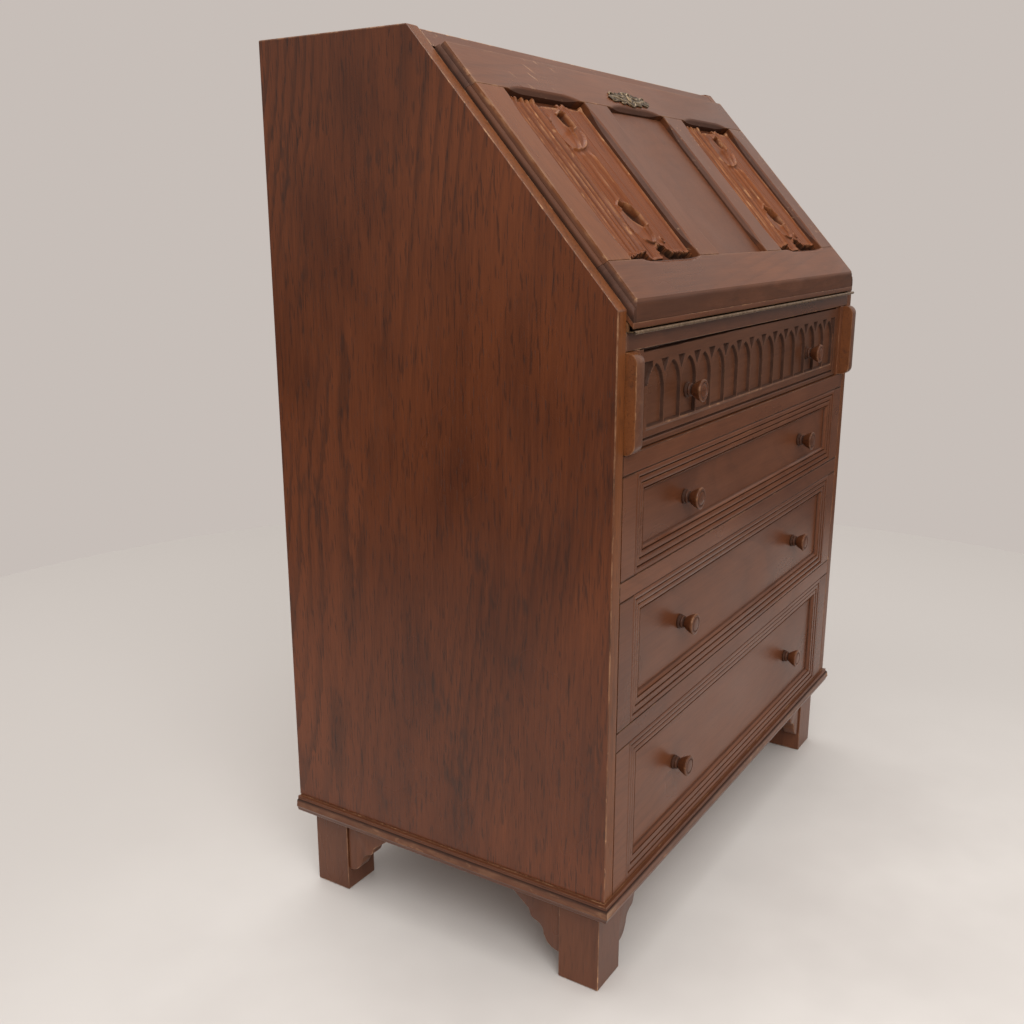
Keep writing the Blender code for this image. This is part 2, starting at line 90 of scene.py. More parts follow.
# ---- node graphs
class Graph:
    """Adds shader nodes to a tree. A value is either a number or another node's output."""

    def __init__(self, tree):
        self.tree = tree

    def add(self, kind, settings=None, **values):
        node = self.tree.nodes.new("ShaderNode" + kind)
        for key, value in (settings or {}).items():
            setattr(node, key, value)
        for key, value in values.items():
            self.put(node, key.replace("_", " "), value)
        return node

    def put(self, node, key, value):
        socket = node.inputs[key]
        if isinstance(value, bpy.types.NodeSocket):
            self.tree.links.new(value, socket)
        else:
            socket.default_value = value

    def math(self, operation, a, b=0.0, c=0.0, clamp=False):
        node = self.add("Math", {"operation": operation, "use_clamp": clamp})
        for index, value in enumerate((a, b, c)):
            self.put(node, index, value)
        return node.outputs[0]

    def vector(self, operation, a, b=(0.0, 0.0, 0.0)):
        node = self.add("VectorMath", {"operation": operation})
        self.put(node, 0, a)
        self.put(node, 1, b)
        return node.outputs["Value" if operation == "LENGTH" else "Vector"]

    def times(self, a, b, more=None, clamp=False):
        """a times b, plus more."""
        if more is None:
            return self.math("MULTIPLY", a, b, clamp=clamp)
        return self.math("MULTIPLY_ADD", a, b, more, clamp)

    def noise(self, vector, across, along, detail=2.0, roughness=0.5):
        """Noise with so many grains to the metre across X and Y, and along Z."""
        stretched = self.vector("MULTIPLY", vector, (across, across, along))
        return self.add("TexNoise", None, Vector=stretched, Scale=1.0, Detail=detail,
                        Roughness=roughness, Distortion=0.0).outputs[0]

    def stored(self, name):
        """A value kept on the points of the mesh."""
        return self.add("Attribute", {"attribute_name": name}).outputs["Fac"]

    def ramp(self, value, low, high, start=0.0, end=1.0):
        """Smooth step from start to end as value goes from low to high."""
        node = self.add("MapRange", {"interpolation_type": "SMOOTHSTEP"}, Value=value)
        for key, number in (("From Min", low), ("From Max", high), ("To Min", start), ("To Max", end)):
            node.inputs[key].default_value = number
        return node.outputs[0]

    def mix(self, factor, a, b):
        node = self.add("Mix", {"data_type": "RGBA", "blend_type": "MIX"})
        for index, value in ((0, factor), (6, a), (7, b)):
            self.put(node, index, value)
        return node.outputs[2]


def rgb(red, green, blue):
    return (red, green, blue, 1.0)


def oak_group():
    """Stained oak seen along Z: tone, growth rings, fibres, pores, scratches, grime and painted shade, worn
    arrises and painted highlights.
    """
    tree = bpy.data.node_groups.new("stained_oak", "ShaderNodeTree")
    for way, names in (("INPUT", (("Vector", "Vector"), ("Dark", "Color"), ("Light", "Color"),
                                  ("Bare", "Color"), ("Figure", "Float"), ("Pores", "Float"),
                                  ("Scratch", "Float"), ("Edge", "Float"))),
                       ("OUTPUT", (("Color", "Color"), ("Roughness", "Float"), ("Height", "Float")))):
        for name, kind in names:
            tree.interface.new_socket(name, in_out=way, socket_type="NodeSocket" + kind)
    g = Graph(tree)
    given = tree.nodes.new("NodeGroupInput").outputs
    point = given["Vector"]

    def noise(across, along, **more):
        return g.noise(point, across, along, **more)

    # growth rings round a pith that leans away from the board, so that they form tall arches
    sway = noise(9.0, 2.4)
    jag = noise(90.0, 26.0)
    split = g.add("SeparateXYZ", None, Vector=point).outputs
    bend = g.times(sway, 0.034, g.times(jag, 0.0060, -0.020))
    across = g.math("ADD", split["X"], bend)
    depth = g.times(split["Z"], 0.15, g.math("ADD", split["Y"], bend))
    radial = g.add("CombineXYZ", None, X=across, Y=depth).outputs[0]
    phase = g.math("FRACT", g.times(g.vector("LENGTH", radial), 88.0))
    ring = g.times(g.ramp(phase, 0.0, 0.08), g.ramp(phase, 0.10, 0.55, 1.0, 0.0))
    shown = g.ramp(noise(7.0, 3.5), 0.42, 0.64, 0.12, 1.0)
    early = g.times(g.times(ring, shown), given["Figure"])

    drift = noise(4.0, 2.2, detail=3.0)
    blotch = noise(17.0, 8.0, detail=3.0)
    fibre = noise(480.0, 14.0, detail=3.0, roughness=0.65)
    streak = noise(110.0, 5.0, detail=3.0, roughness=0.6)
    cluster = g.ramp(noise(24.0, 9.0), 0.56, 0.72)
    smudge = g.times(cluster, g.ramp(noise(190.0, 45.0, detail=3.0), 0.44, 0.66))
    pore_noise = noise(850.0, 60.0, detail=1.0)
    pore_start = g.times(early, -0.06, 0.675)
    pore = g.ramp(g.math("SUBTRACT", pore_noise, pore_start), 0.0, 0.05)
    pore = g.times(pore, given["Pores"])

    tick = g.ramp(noise(430.0, 40.0, detail=1.0), 0.60, 0.69)
    tick = g.times(tick, given["Pores"])

    tone = g.times(drift, 1.5, -0.25)
    tone = g.times(g.math("SUBTRACT", blotch, 0.5), 0.9, tone)
    tone = g.times(g.math("SUBTRACT", streak, 0.5), 0.5, tone)
    tone = g.times(g.math("SUBTRACT", fibre, 0.5), 0.9, tone, clamp=True)
    colour = g.mix(tone, given["Dark"], given["Light"])
    colour = g.mix(g.times(early, 0.58), colour, rgb(0.030, 0.010, 0.005))
    colour = g.mix(g.times(tick, 0.7), colour, rgb(0.026, 0.010, 0.006))
    smudge = g.times(smudge, g.times(given["Pores"], 0.75))
    colour = g.mix(smudge, colour, rgb(0.028, 0.013, 0.009))
    colour = g.mix(g.times(pore, 0.75), colour, rgb(0.016, 0.007, 0.005))

    # fine pale scratches that cross the grain
    turned = g.add("Mapping", None, Vector=point)
    turned.inputs["Rotation"].default_value = (0.7, 0.0, 0.0)
    scratch = g.ramp(g.noise(turned.outputs[0], 330.0, 22.0, detail=1.0), 0.70, 0.74)
    scratch = g.times(scratch, g.ramp(noise(9.0, 9.0), 0.48, 0.56))
    scratch = g.times(scratch, given["Scratch"])
    colour = g.mix(scratch, colour, given["Bare"])

    # Darkened where the stored dirt value is high: grime on some pieces, painted shade in recesses, quirks,
    # gaps and undercuts on others.
    hollow = g.stored("dirt")
    dirt_noise = noise(60.0, 20.0, detail=3.0)
    dirt = g.times(hollow, g.ramp(dirt_noise, 0.25, 0.6, 0.70, 1.0), clamp=True)
    colour = g.mix(dirt, colour, rgb(0.020, 0.008, 0.0045))

    # Bare colour where the stored wear value is high: rubbed arrises, and painted highlights on linenfold
    # crests, the arcade sill and the arris of the fall's flat face.
    proud = g.stored("wear")
    rub = noise(85.0, 30.0, detail=4.0, roughness=0.7)
    nick = noise(120.0, 60.0)
    amount = g.math("ADD", g.ramp(rub, 0.44, 0.68, 0.10, 0.60), g.ramp(nick, 0.62, 0.68, 0.0, 0.7))
    rubbed_and_highlit = g.times(g.math("MAXIMUM", proud, given["Edge"]), amount, clamp=True)
    colour = g.mix(rubbed_and_highlit, colour, given["Bare"])

    smear = noise(7.0, 4.0, detail=3.0)
    rough = g.ramp(smear, 0.3, 0.7, 0.26, 0.38)
    rough = g.times(pore, 0.20, rough)
    rough = g.times(rubbed_and_highlit, 0.25, g.times(dirt, 0.60, rough))
    height = g.times(fibre, 0.35, g.times(pore, -1.0))
    height = g.math("SUBTRACT", height, g.times(scratch, 0.8))
    result = tree.nodes.new("NodeGroupOutput")
    g.put(result, "Color", colour)
    g.put(result, "Roughness", rough)
    g.put(result, "Height", height)
    return tree


OAK = oak_group()
BARE_CASE = (0.36, 0.19, 0.095)
BARE_FALL = (0.45, 0.25, 0.13)
# Dark and light stain, the colour where the stain is rubbed through, then how strongly the rings,
# pores and scratches show, and the specular level of the old varnish.
TONES = {
    "case": ((0.066, 0.0165, 0.0055), (0.152, 0.040, 0.0120), BARE_CASE, 0.8, 0.75, 0.0, 0.40),
    "front": ((0.092, 0.0292, 0.0127), (0.166, 0.0588, 0.0262), BARE_CASE, 0.30, 0.15, 0.0, 0.25),
    # arcade: greyer than front with less sheen; the varnish's reflection painted into its colour.
    "arcade": ((0.075, 0.0275, 0.0130), (0.141, 0.0545, 0.0280), BARE_CASE, 0.30, 0.15, 0.0, 0.20),
    "band": ((0.084, 0.029, 0.014), (0.145, 0.054, 0.027), (0.30, 0.16, 0.08), 0.30, 0.25, 0.0, 0.36),
    "fall": ((0.087, 0.0265, 0.010), (0.162, 0.053, 0.020), BARE_FALL, 0.30, 0.15, 0.7, 0.31),
    # seam: near black, for bevels beside the gaps round drawers and rails; painted shade that widens those
    # dark gaps.
    "seam": ((0.024, 0.009, 0.005), (0.050, 0.018, 0.009), BARE_CASE, 0.30, 0.15, 0.0, 0.20),
    "panel": ((0.084, 0.0258, 0.010), (0.156, 0.051, 0.0195), BARE_FALL, 0.30, 0.15, 0.0, 0.27),
    # stile: a more orange copy of fall with less sheen, for the left stile alone; painted light, where that
    # stile shows less reflection than the other boards.
    "stile": ((0.115, 0.034, 0.011), (0.190, 0.060, 0.019), BARE_FALL, 0.30, 0.15, 0.0, 0.20),
    "carved": ((0.098, 0.024, 0.0075), (0.206, 0.058, 0.0155), (0.47, 0.235, 0.105), 0.45, 0.35, 0.0, 0.14),
    "turned": ((0.066, 0.021, 0.0085), (0.130, 0.042, 0.0165), (0.42, 0.22, 0.11), 0.4, 0.5, 0.0, 0.30),
    "edge": ((0.100, 0.030, 0.009), (0.180, 0.058, 0.018), (0.50, 0.28, 0.14), 0.4, 0.5, 0.0, 0.20),
    "base": ((0.082, 0.0262, 0.0115), (0.145, 0.0495, 0.0222), (0.46, 0.26, 0.14), 0.35, 0.35, 0.0, 0.36),
    "inside": ((0.250, 0.130, 0.058), (0.420, 0.255, 0.130), (0.55, 0.38, 0.22), 0.5, 0.6, 0.0, 0.25),
}
TURNS = {"X": (0.0, math.pi / 2, 0.0), "Y": (math.pi / 2, 0.0, 0.0), "Z": (0.0, 0.0, 0.0)}
made_materials = {}


def new_material(name):
    """A material, the graph that fills it, and its shader."""
    material = bpy.data.materials.new(name)
    material.use_nodes = True
    return material, Graph(material.node_tree), material.node_tree.nodes["Principled BSDF"]


def oak(tone, grain, seed, edge=0.0, centre=(0.0, 0.0, 0.0), pith=None):
    """Oak material whose grain runs along one axis of the piece; each seed is another board."""
    key = "oak_%s_%s_%02d_%d" % (tone, grain.lower(), seed, round(edge * 10))
    if key in made_materials:
        return made_materials[key]
    dark, light, bare, figure, pores, scratch, sheen = TONES[tone]
    material, g, shader = new_material(key)
    place = g.add("Mapping", None, Vector=g.add("TexCoord").outputs["Object"])
    place.inputs["Rotation"].default_value = TURNS[grain]
    middle = Euler(TURNS[grain]).to_matrix() @ Vector(centre)
    if pith is None:
        pith = ((seed * 0.618 % 1.0 - 0.5) * 0.10, 0.035 + 0.05 * (seed * 0.377 % 1.0))
    offset = Vector((pith[0], pith[1], 0.613 * (seed % 7) - 1.5)) - middle
    place.inputs["Location"].default_value = offset
    wood = g.add("Group", {"node_tree": OAK}, Vector=place.outputs[0], Dark=rgb(*dark), Light=rgb(*light),
                 Bare=rgb(*bare), Figure=figure, Pores=pores, Scratch=scratch, Edge=edge)
    bump = g.add("Bump", None, Height=wood.outputs["Height"], Strength=0.35, Distance=0.0004)
    g.put(shader, "Base Color", wood.outputs["Color"])
    g.put(shader, "Roughness", wood.outputs["Roughness"])
    g.put(shader, "Normal", bump.outputs[0])
    shader.inputs["Specular IOR Level"].default_value = sheen
    made_materials[key] = material
    return material


def brass(name, dull, bright, metal=1.0):
    """Aged brass: bright where it is rubbed, dull and brown in the hollows."""
    material, g, shader = new_material(name)
    point = g.add("TexCoord").outputs["Object"]
    patina = g.noise(point, 160.0, 160.0, detail=4.0, roughness=0.65)
    speck = g.noise(point, 900.0, 900.0)
    hollow = g.stored("dirt")
    proud = g.stored("wear")
    shine = g.times(proud, 0.6, g.ramp(patina, 0.40, 0.65, 0.0, 0.6), clamp=True)
    colour = g.mix(shine, dull, bright)
    colour = g.mix(hollow, colour, rgb(0.030, 0.018, 0.010))
    g.put(shader, "Base Color", colour)
    shader.inputs["Metallic"].default_value = metal
    g.put(shader, "Roughness", g.ramp(patina, 0.35, 0.7, 0.50, 0.28))
    bump = g.add("Bump", None, Height=speck, Strength=0.3, Distance=0.0002)
    g.put(shader, "Normal", bump.outputs[0])
    return material


# ---- mesh helpers
def smooth_mesh(mesh, degrees=32.0):
    mesh.shade_smooth()
    mesh.set_sharp_from_angle(angle=math.radians(degrees))


def add_object(name, data):
    obj = bpy.data.objects.new(name, data)
    bpy.context.scene.collection.objects.link(obj)
    return obj


def piece(name, verts, faces, body, replaced, wood, place=None, slot="oak_case", **marks):
    """A new piece in its own frame, which rides on a body and stands for CAD nodes.

    wood is (tone, grain, seed), or a finished material; marks are values at each point for rubbed and soiled
    places, which also carry painted highlights and painted shade.
    """
    verts = np.asarray(verts, float)
    mesh = bpy.data.meshes.new(name)
    mesh.from_pydata(verts.tolist(), [], faces)
    bm = bmesh.new()
    bm.from_mesh(mesh)
    bmesh.ops.recalc_face_normals(bm, faces=bm.faces)
    bm.to_mesh(mesh)
    bm.free()
    smooth_mesh(mesh)
    for key, values in marks.items():
        layer = mesh.attributes.new(key, "FLOAT", "POINT")
        layer.data.foreach_set("value", np.asarray(values, np.float32))
    if isinstance(wood, tuple):
        wood = oak(*wood, centre=(verts.min(0) + verts.max(0)) / 2)
    mesh.materials.append(wood)
    obj = add_object(name, mesh)
    if place is not None:
        obj.matrix_world = place
    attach(obj, body)
    if replaced:
        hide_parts(*replaced)
    return obj


def dress(name, tone, grain, seed, bevel=0.0008, pith=None, edge=1.0, edge_tone=None):
    """Keeps a CAD node: eases its edges, and shows them as worn arrises or as dark seams of painted shade."""
    obj = nodes[name]
    corners = np.array([v.co for v in obj.data.vertices])
    middle = (corners.min(0) + corners.max(0)) / 2
    obj.data.materials.clear()
    obj.data.materials.append(oak(tone, grain, seed, 0.0, middle, pith))
    obj.data.materials.append(oak(edge_tone or tone, grain, seed, edge, middle, pith))
    weld = obj.modifiers.new("weld", "WELD")
    weld.merge_threshold = 0.00001
    ease = obj.modifiers.new("ease", "BEVEL")
    ease.width = bevel
    ease.segments = 2
    ease.limit_method = "ANGLE"
    ease.angle_limit = math.radians(30.0)
    ease.material = 1
    obj.modifiers.new("shade", "WEIGHTED_NORMAL")
    return obj


def lines(start, end, step, extra=()):
    """Grid lines from start to end, with close ones at both borders and at the extra places."""
    count = max(2, round((end - start) / step) + 1)
    values = list(np.linspace(start, end, count))
    near = [0.0, 0.0002, 0.0005, 0.0009, 0.0014]
    values += [start + d for d in near] + [end - d for d in near]
    values += [e for e in extra if start < e < end]
    values = np.unique(np.round(values, 6))
    keep = [values[0]]
    for value in values[1:]:
        if value - keep[-1] > 0.00012:
            keep.append(value)
    keep[-1] = end
    return np.array(keep)


COLLAR = 0.0010  # how far below a board's rim its walls have a ring of points without wear


def relief(name, xs, ys, height, base, body, replaced, wood, place, slot="oak_case", marks=None):
    """A closed board over a grid: height(x, y) is its worked face and base its flat back."""
    gx, gy = np.meshgrid(xs, ys, indexing="ij")
    face = height(gx, gy)
    nx, ny = gx.shape
    index = np.arange(nx * ny).reshape(nx, ny)
    rim = np.concatenate([index[:, 0], index[-1, 1:], index[-2::-1, -1], index[0, -2:0:-1]])
    top = np.stack([gx, gy, face], -1).reshape(-1, 3)
    collar = top[rim].copy()
    collar[:, 2] = np.maximum(collar[:, 2] - COLLAR, base + 0.0002)
    under = top[rim].copy()
    under[:, 2] = base
    quads = np.stack([index[:-1, :-1], index[1:, :-1], index[1:, 1:], index[:-1, 1:]], -1)
    first = len(top) + np.arange(len(rim))
    last = first + len(rim)
    walls = [np.stack([a, np.roll(a, -1), np.roll(b, -1), b], -1) for a, b in ((rim, first), (first, last))]
    faces = quads.reshape(-1, 4).tolist() + np.concatenate(walls).tolist() + [last.tolist()]
    wear, dirt = marks(gx, gy, face) if marks else (edge_wear(gx, gy), np.zeros_like(face))
    piece(name, np.concatenate([top, collar, under]), faces, body, replaced, wood, place, slot,
          wear=np.concatenate([wear.ravel(), np.zeros(2 * len(rim))]),
          dirt=np.concatenate([dirt.ravel(), dirt.ravel()[rim], dirt.ravel()[rim]]))


def border(gx, gy):
    """Distance to the nearest border of the grid."""
    return np.minimum(np.minimum(gx - gx.min(), gx.max() - gx), np.minimum(gy - gy.min(), gy.max() - gy))


def edge_wear(gx, gy):
    return np.exp(-border(gx, gy) / 0.0007)


def eased(distance, radius):
    """How far a rounded arris has dropped, at a distance from the border."""
    left = np.clip(radius - distance, 0.0, radius)
    return radius - np.sqrt(radius ** 2 - left ** 2)


def step(value, low, high):
    t = np.clip((value - low) / (high - low), 0.0, 1.0)
    return t * t * (3.0 - 2.0 * t)


def hill(value, centre, width):
    """Bell curve: 1 at the centre, falling away over the width."""
    return np.exp(-((value - centre) / width) ** 2)


def blurred(field, radius):
    """Box blur, twice, with its edge values carried on."""
    result = field
    for _ in range(2):
        for axis in (0, 1):
            pad = [(radius + 1, radius) if a == axis else (0, 0) for a in (0, 1)]
            total = np.cumsum(np.pad(result, pad, mode="edge"), axis=axis)
            count = 2 * radius + 1
            upper = np.take(total, range(count, total.shape[axis]), axis=axis)
            lower = np.take(total, range(total.shape[axis] - count), axis=axis)
            result = (upper - lower) / count
    return result


# ---- fall: framed front
FACE = fall_box("fall_top_rail")[1][2]
FRAME_BACK = fall_box("fall_top_rail")[0][2]
FALL_HALF = fall_box("fall_top_rail")[1][0]
BEAD = 0.0046  # half round at the outer edge of the fall, below its face
BEAD_TOP = 0.0046  # from the face down to the crown of that bead
BEAD_DROP = 0.0062  # from the crown down to the outer edge of the bead
QUIRK_DEPTH = 0.0016
QUIRK_WIDTH = 0.0004
HOLLOW = 0.0070  # where the flat face begins
HOLLOW_DEPTH = 0.0050
CHAMFER = 0.0058  # chamfer of the panel openings: width on the face and depth
CHAMFER_DEPTH = 0.0050
CHAMFER_START = 0.009  # from the corner of a panel opening to where its chamfer begins and is full
CHAMFER_FULL = 0.048
ARRIS = 0.0007


def side_moulding(gx):
    """Height of the moulded side edges: a half round below the face, a quirk and a hollow."""
    inward = FALL_HALF - np.abs(gx)
    part = np.clip(inward / BEAD, 0.0, 1.0)
    bead = FACE - BEAD_TOP - BEAD_DROP * (1.0 - np.sqrt(np.maximum(1.0 - (1.0 - part) ** 2.0, 0.0)))
    bead -= QUIRK_DEPTH * step(inward, BEAD - 0.0010, BEAD + 0.0003)
    rise = np.clip((inward - BEAD - QUIRK_WIDTH) / (HOLLOW - BEAD - QUIRK_WIDTH), 0.0, 1.0)
    hollow = FACE - HOLLOW_DEPTH * (1.0 - rise ** 1.6)
    return np.where(inward < BEAD + QUIRK_WIDTH, bead, hollow)


MOULD_LINES = list(np.linspace(0.0, BEAD, 9)[1:]) + list(np.linspace(BEAD + QUIRK_WIDTH, HOLLOW, 6))


def fall_marks(end_grain):
    """Painted shade beside the bead, at the outer edge and in the chamfers; the moulded edge darkened, most
    on end grain; worn arrises, with a painted highlight on the arris of the flat face.
    """
    def marks(gx, gy, face):
        inward = FALL_HALF - np.abs(gx)
        # Painted shade: in the quirk beside the bead, and along the outer side where the fall meets the
        # carcass.
        quirk_shade = hill(inward - BEAD, 0.0002, 0.0007)
        # The moulded edge is darkened, most on end grain.
        edge = 1.0 - step(inward, HOLLOW - 0.0012, HOLLOW)
        side = hill(inward, 0.0, 0.0009)
        dirt = np.maximum(np.maximum(0.85 * quirk_shade, 0.90 * side), edge * (0.66 if end_grain else 0.52))
        # A pale line on the arris of the flat face: wear and a painted highlight.
        arris = hill(inward, HOLLOW, 0.0006)
        # Painted shade in the chamfers.
        cut = step(FACE - face, 0.0006, 0.0022) * (inward > HOLLOW + 0.001) * (gy > OPENING_U[0] - 0.002)
        dirt = np.maximum(dirt, 0.58 * cut)
        return np.maximum(edge_wear(gx, gy) * (inward > HOLLOW) * (1.0 - cut), arris * 0.7), dirt
    return marks


def chamfer_size(along, start, end):
    """Stopped chamfer: nothing at the corners, full size between, with a long curved run-out."""
    reach = np.minimum(along - start, end - along)
    t = np.clip((reach - CHAMFER_START) / (CHAMFER_FULL - CHAMFER_START), 0.0, 1.0)
    return t * (2.0 - t)


def chamfered(distance, size):
    """Height of a chamfered edge at a distance from the opening; size 1 is the full chamfer."""
    return FACE - CHAMFER_DEPTH * np.maximum(size - distance / CHAMFER, 0.0)


low, high = fall_box("fall_stile_left")
OPENING_U = (low[1], high[1])
STILE_X = -high[0]
MUNTIN_X = (-fall_box("fall_muntin_left")[1][0], -fall_box("fall_muntin_left")[0][0])
OPENINGS = ((-STILE_X, -MUNTIN_X[1]), (-MUNTIN_X[0], MUNTIN_X[0]), (MUNTIN_X[1], STILE_X))


def top_rail_face(gx, gy):
    start = gy.min()
    face = np.minimum(side_moulding(gx), FACE - eased(border(gx, gy), ARRIS))
    for x0, x1 in OPENINGS:
        inside = (gx > x0) & (gx < x1)
        cut = chamfered(gy - start, chamfer_size(gx, x0, x1))
        face = np.where(inside, np.minimum(face, cut), face)
    return face


def upright_face(outer):
    """Face of a stile or muntin; outer says which sides have no opening beside them."""
    def face(gx, gy):
        size = chamfer_size(gy, *OPENING_U)
        result = np.minimum(side_moulding(gx), FACE - eased(border(gx, gy), ARRIS))
        if -1 not in outer:
            result = np.minimum(result, chamfered(gx - gx.min(), size))
        if 1 not in outer:
            result = np.minimum(result, chamfered(gx.max() - gx, size))
        return result
    return face


def bottom_rail_face(gx, gy):
    """The rail with its foot cut plumb, which follows the rail's CAD outline."""
    drop = math.tan(math.pi / 2 - SLOPE)
    plumb = FRAME_BACK + (gy - gy.min()) * drop
    corner = FACE - eased(np.maximum(gy - gy.min() - (FACE - FRAME_BACK) / drop, 0.0), 0.0012)
    face = np.minimum(side_moulding(gx), FACE - eased(gy.max() - gy, ARRIS))
    for x0, x1 in (OPENINGS[0], OPENINGS[2]):
        cut = chamfered(gy.max() - gy, chamfer_size(gx, x0 + 0.012, x1 + 0.012))
        face = np.where((gx > x0) & (gx < x1), np.minimum(face, cut), face)
    return np.minimum(np.minimum(face, corner), plumb + 0.00001)


def bottom_rail_marks(gx, gy, face):
    """As fall_marks; the plumb band is darkened."""
    wear, dirt = fall_marks(True)(gx, gy, face)
    drop = math.tan(math.pi / 2 - SLOPE)
    top = (FACE - FRAME_BACK) / drop
    band = 1.0 - step(gy - gy.min(), top - 0.0006, top + 0.0006)
    return wear * (1.0 - band), np.maximum(dirt, 0.42 * band)


def x_lines(start, end, pitch, extra=()):
    mould = [FALL_HALF - d for d in MOULD_LINES] + [-FALL_HALF + d for d in MOULD_LINES]
    return lines(start, end, pitch, list(extra) + mould)


def from_ends(start, end, distances):
    """Places at the same distances from both ends of a stretch."""
    return [start + d for d in distances] + [end - d for d in distances]


def fall_relief(name, xs, ys, face, node, wood, marks, slot="oak_case"):
    relief(name, xs, ys, face, FRAME_BACK, "fall", [node], wood, FALL, slot, marks)


RUN_OUT = np.linspace(CHAMFER_START, CHAMFER_FULL, 14)
ACROSS_CHAMFER = np.linspace(0.0, CHAMFER, 8)
stops = [place for pair in OPENINGS for place in from_ends(*pair, RUN_OUT)]
stops += [x + s * 0.0001 for pair in OPENINGS for x in pair for s in (-1, 1)]
low, high = fall_box("fall_top_rail")
fall_relief("fall_rail_top", x_lines(low[0], high[0], 0.012, stops),
            lines(low[1], high[1], 0.004, [low[1] + d for d in ACROSS_CHAMFER]), top_rail_face,
            "fall_top_rail", ("fall", "X", 1), fall_marks(True))
low, high = fall_box("fall_bottom_rail")
fall_relief("fall_rail_bottom", x_lines(low[0], high[0], 0.012, stops), lines(low[1], high[1], 0.0015),
            bottom_rail_face, "fall_bottom_rail", ("panel", "X", 2), bottom_rail_marks)
for seed, (kind, outer) in enumerate((("stile", True), ("muntin", False))):
    for side, sign in SIDES:
        label = "fall_%s_%s" % (kind, side)
        # The left stile alone takes the stile tone: its weaker reflection painted into a more orange colour.
        tone = "stile" if label == "fall_stile_left" else "fall"
        low, high = fall_box(label)
        fall_relief("fall_front_%s_%s" % (kind, side),
                    x_lines(low[0], high[0], 0.006, from_ends(low[0], high[0], ACROSS_CHAMFER)),
                    lines(low[1], high[1], 0.010, from_ends(*OPENING_U, RUN_OUT)),
                    upright_face((sign,) if outer else ()), label,
                    (tone, "Y", 3 + seed * 2 + (sign > 0)), fall_marks(False))

# ---- fall: linenfold panels
PANEL_LOW, PANEL_HIGH = fall_box("fall_panel_left")
PANEL_WIDTH = PANEL_HIGH[0] - PANEL_LOW[0]
PANEL_LENGTH = PANEL_HIGH[1] - PANEL_LOW[1]
GROUND = 0.0066  # sunk ground round the ends of the cloth
CLOTH = 0.0108  # level of the cloth between its folds
CARVE_STEP = 0.00065
# Fold crests: distance from the panel's left edge, half width, rise.
REEDS = [(0.0035, 0.0017, 0.0024), (0.0090, 0.0018, 0.0024), (0.0150, 0.0016, 0.0028),
         (0.0215, 0.0018, 0.0034), (0.0345, 0.0020, 0.0034), (0.0455, 0.0016, 0.0024),
         (0.0545, 0.0019, 0.0036), (0.1255, 0.0022, 0.0006), (0.1565, 0.0022, 0.0024)]
MIDDLE_REEDS = [(0.0795, 0.0018, 0.0028), (0.0990, 0.0030, 0.0028)]
# Corners of the two deep openings in the cloth, from the panel's lower left corner.
UPPER_HOLLOW = [(0.0885, 0.1988), (0.0925, 0.1888), (0.0985, 0.1790), (0.1115, 0.1848), (0.1100, 0.2030),
                (0.1025, 0.2053)]
LOWER_HOLLOW = [(0.0735, 0.0740), (0.0775, 0.0655), (0.0860, 0.0550), (0.0985, 0.0450), (0.1075, 0.0490),
                (0.1070, 0.0620), (0.0930, 0.0765), (0.0800, 0.0790)]

# The lower end of the cloth: distance from the panel's left edge, height over its lower edge.
LOW_END = [(0.000, 0.0040), (0.012, 0.0045), (0.015, 0.0080), (0.036, 0.0085), (0.052, 0.0110),
           (0.0585, 0.0110), (0.0600, 0.0010), (0.0850, 0.0010), (0.0865, 0.0150), (0.0950, 0.0195),
           (0.1040, 0.0185), (0.1120, 0.0115), (0.1150, 0.0085), (0.1520, 0.0085), (0.1580, 0.0045),
           (0.1670, 0.0045)]


def polygon_distance(px, py, corners):
    """Signed distance to a convex polygon given anticlockwise, less than nothing inside it."""
    result = np.full(px.shape, -1.0)
    for (x0, y0), (x1, y1) in zip(corners, corners[1:] + corners[:1]):
        length = math.hypot(x1 - x0, y1 - y0)
        result = np.maximum(result, ((px - x0) * (y1 - y0) - (py - y0) * (x1 - x0)) / length)
    return result


def lobe(px, py, centre_x, centre_y, half_x, half_y, lean):
    """Share of the way out from the middle of a leaning oval: 1 on its edge."""
    dx = px - centre_x - lean * (py - centre_y)
    return np.hypot(dx / half_x, (py - centre_y) / half_y)


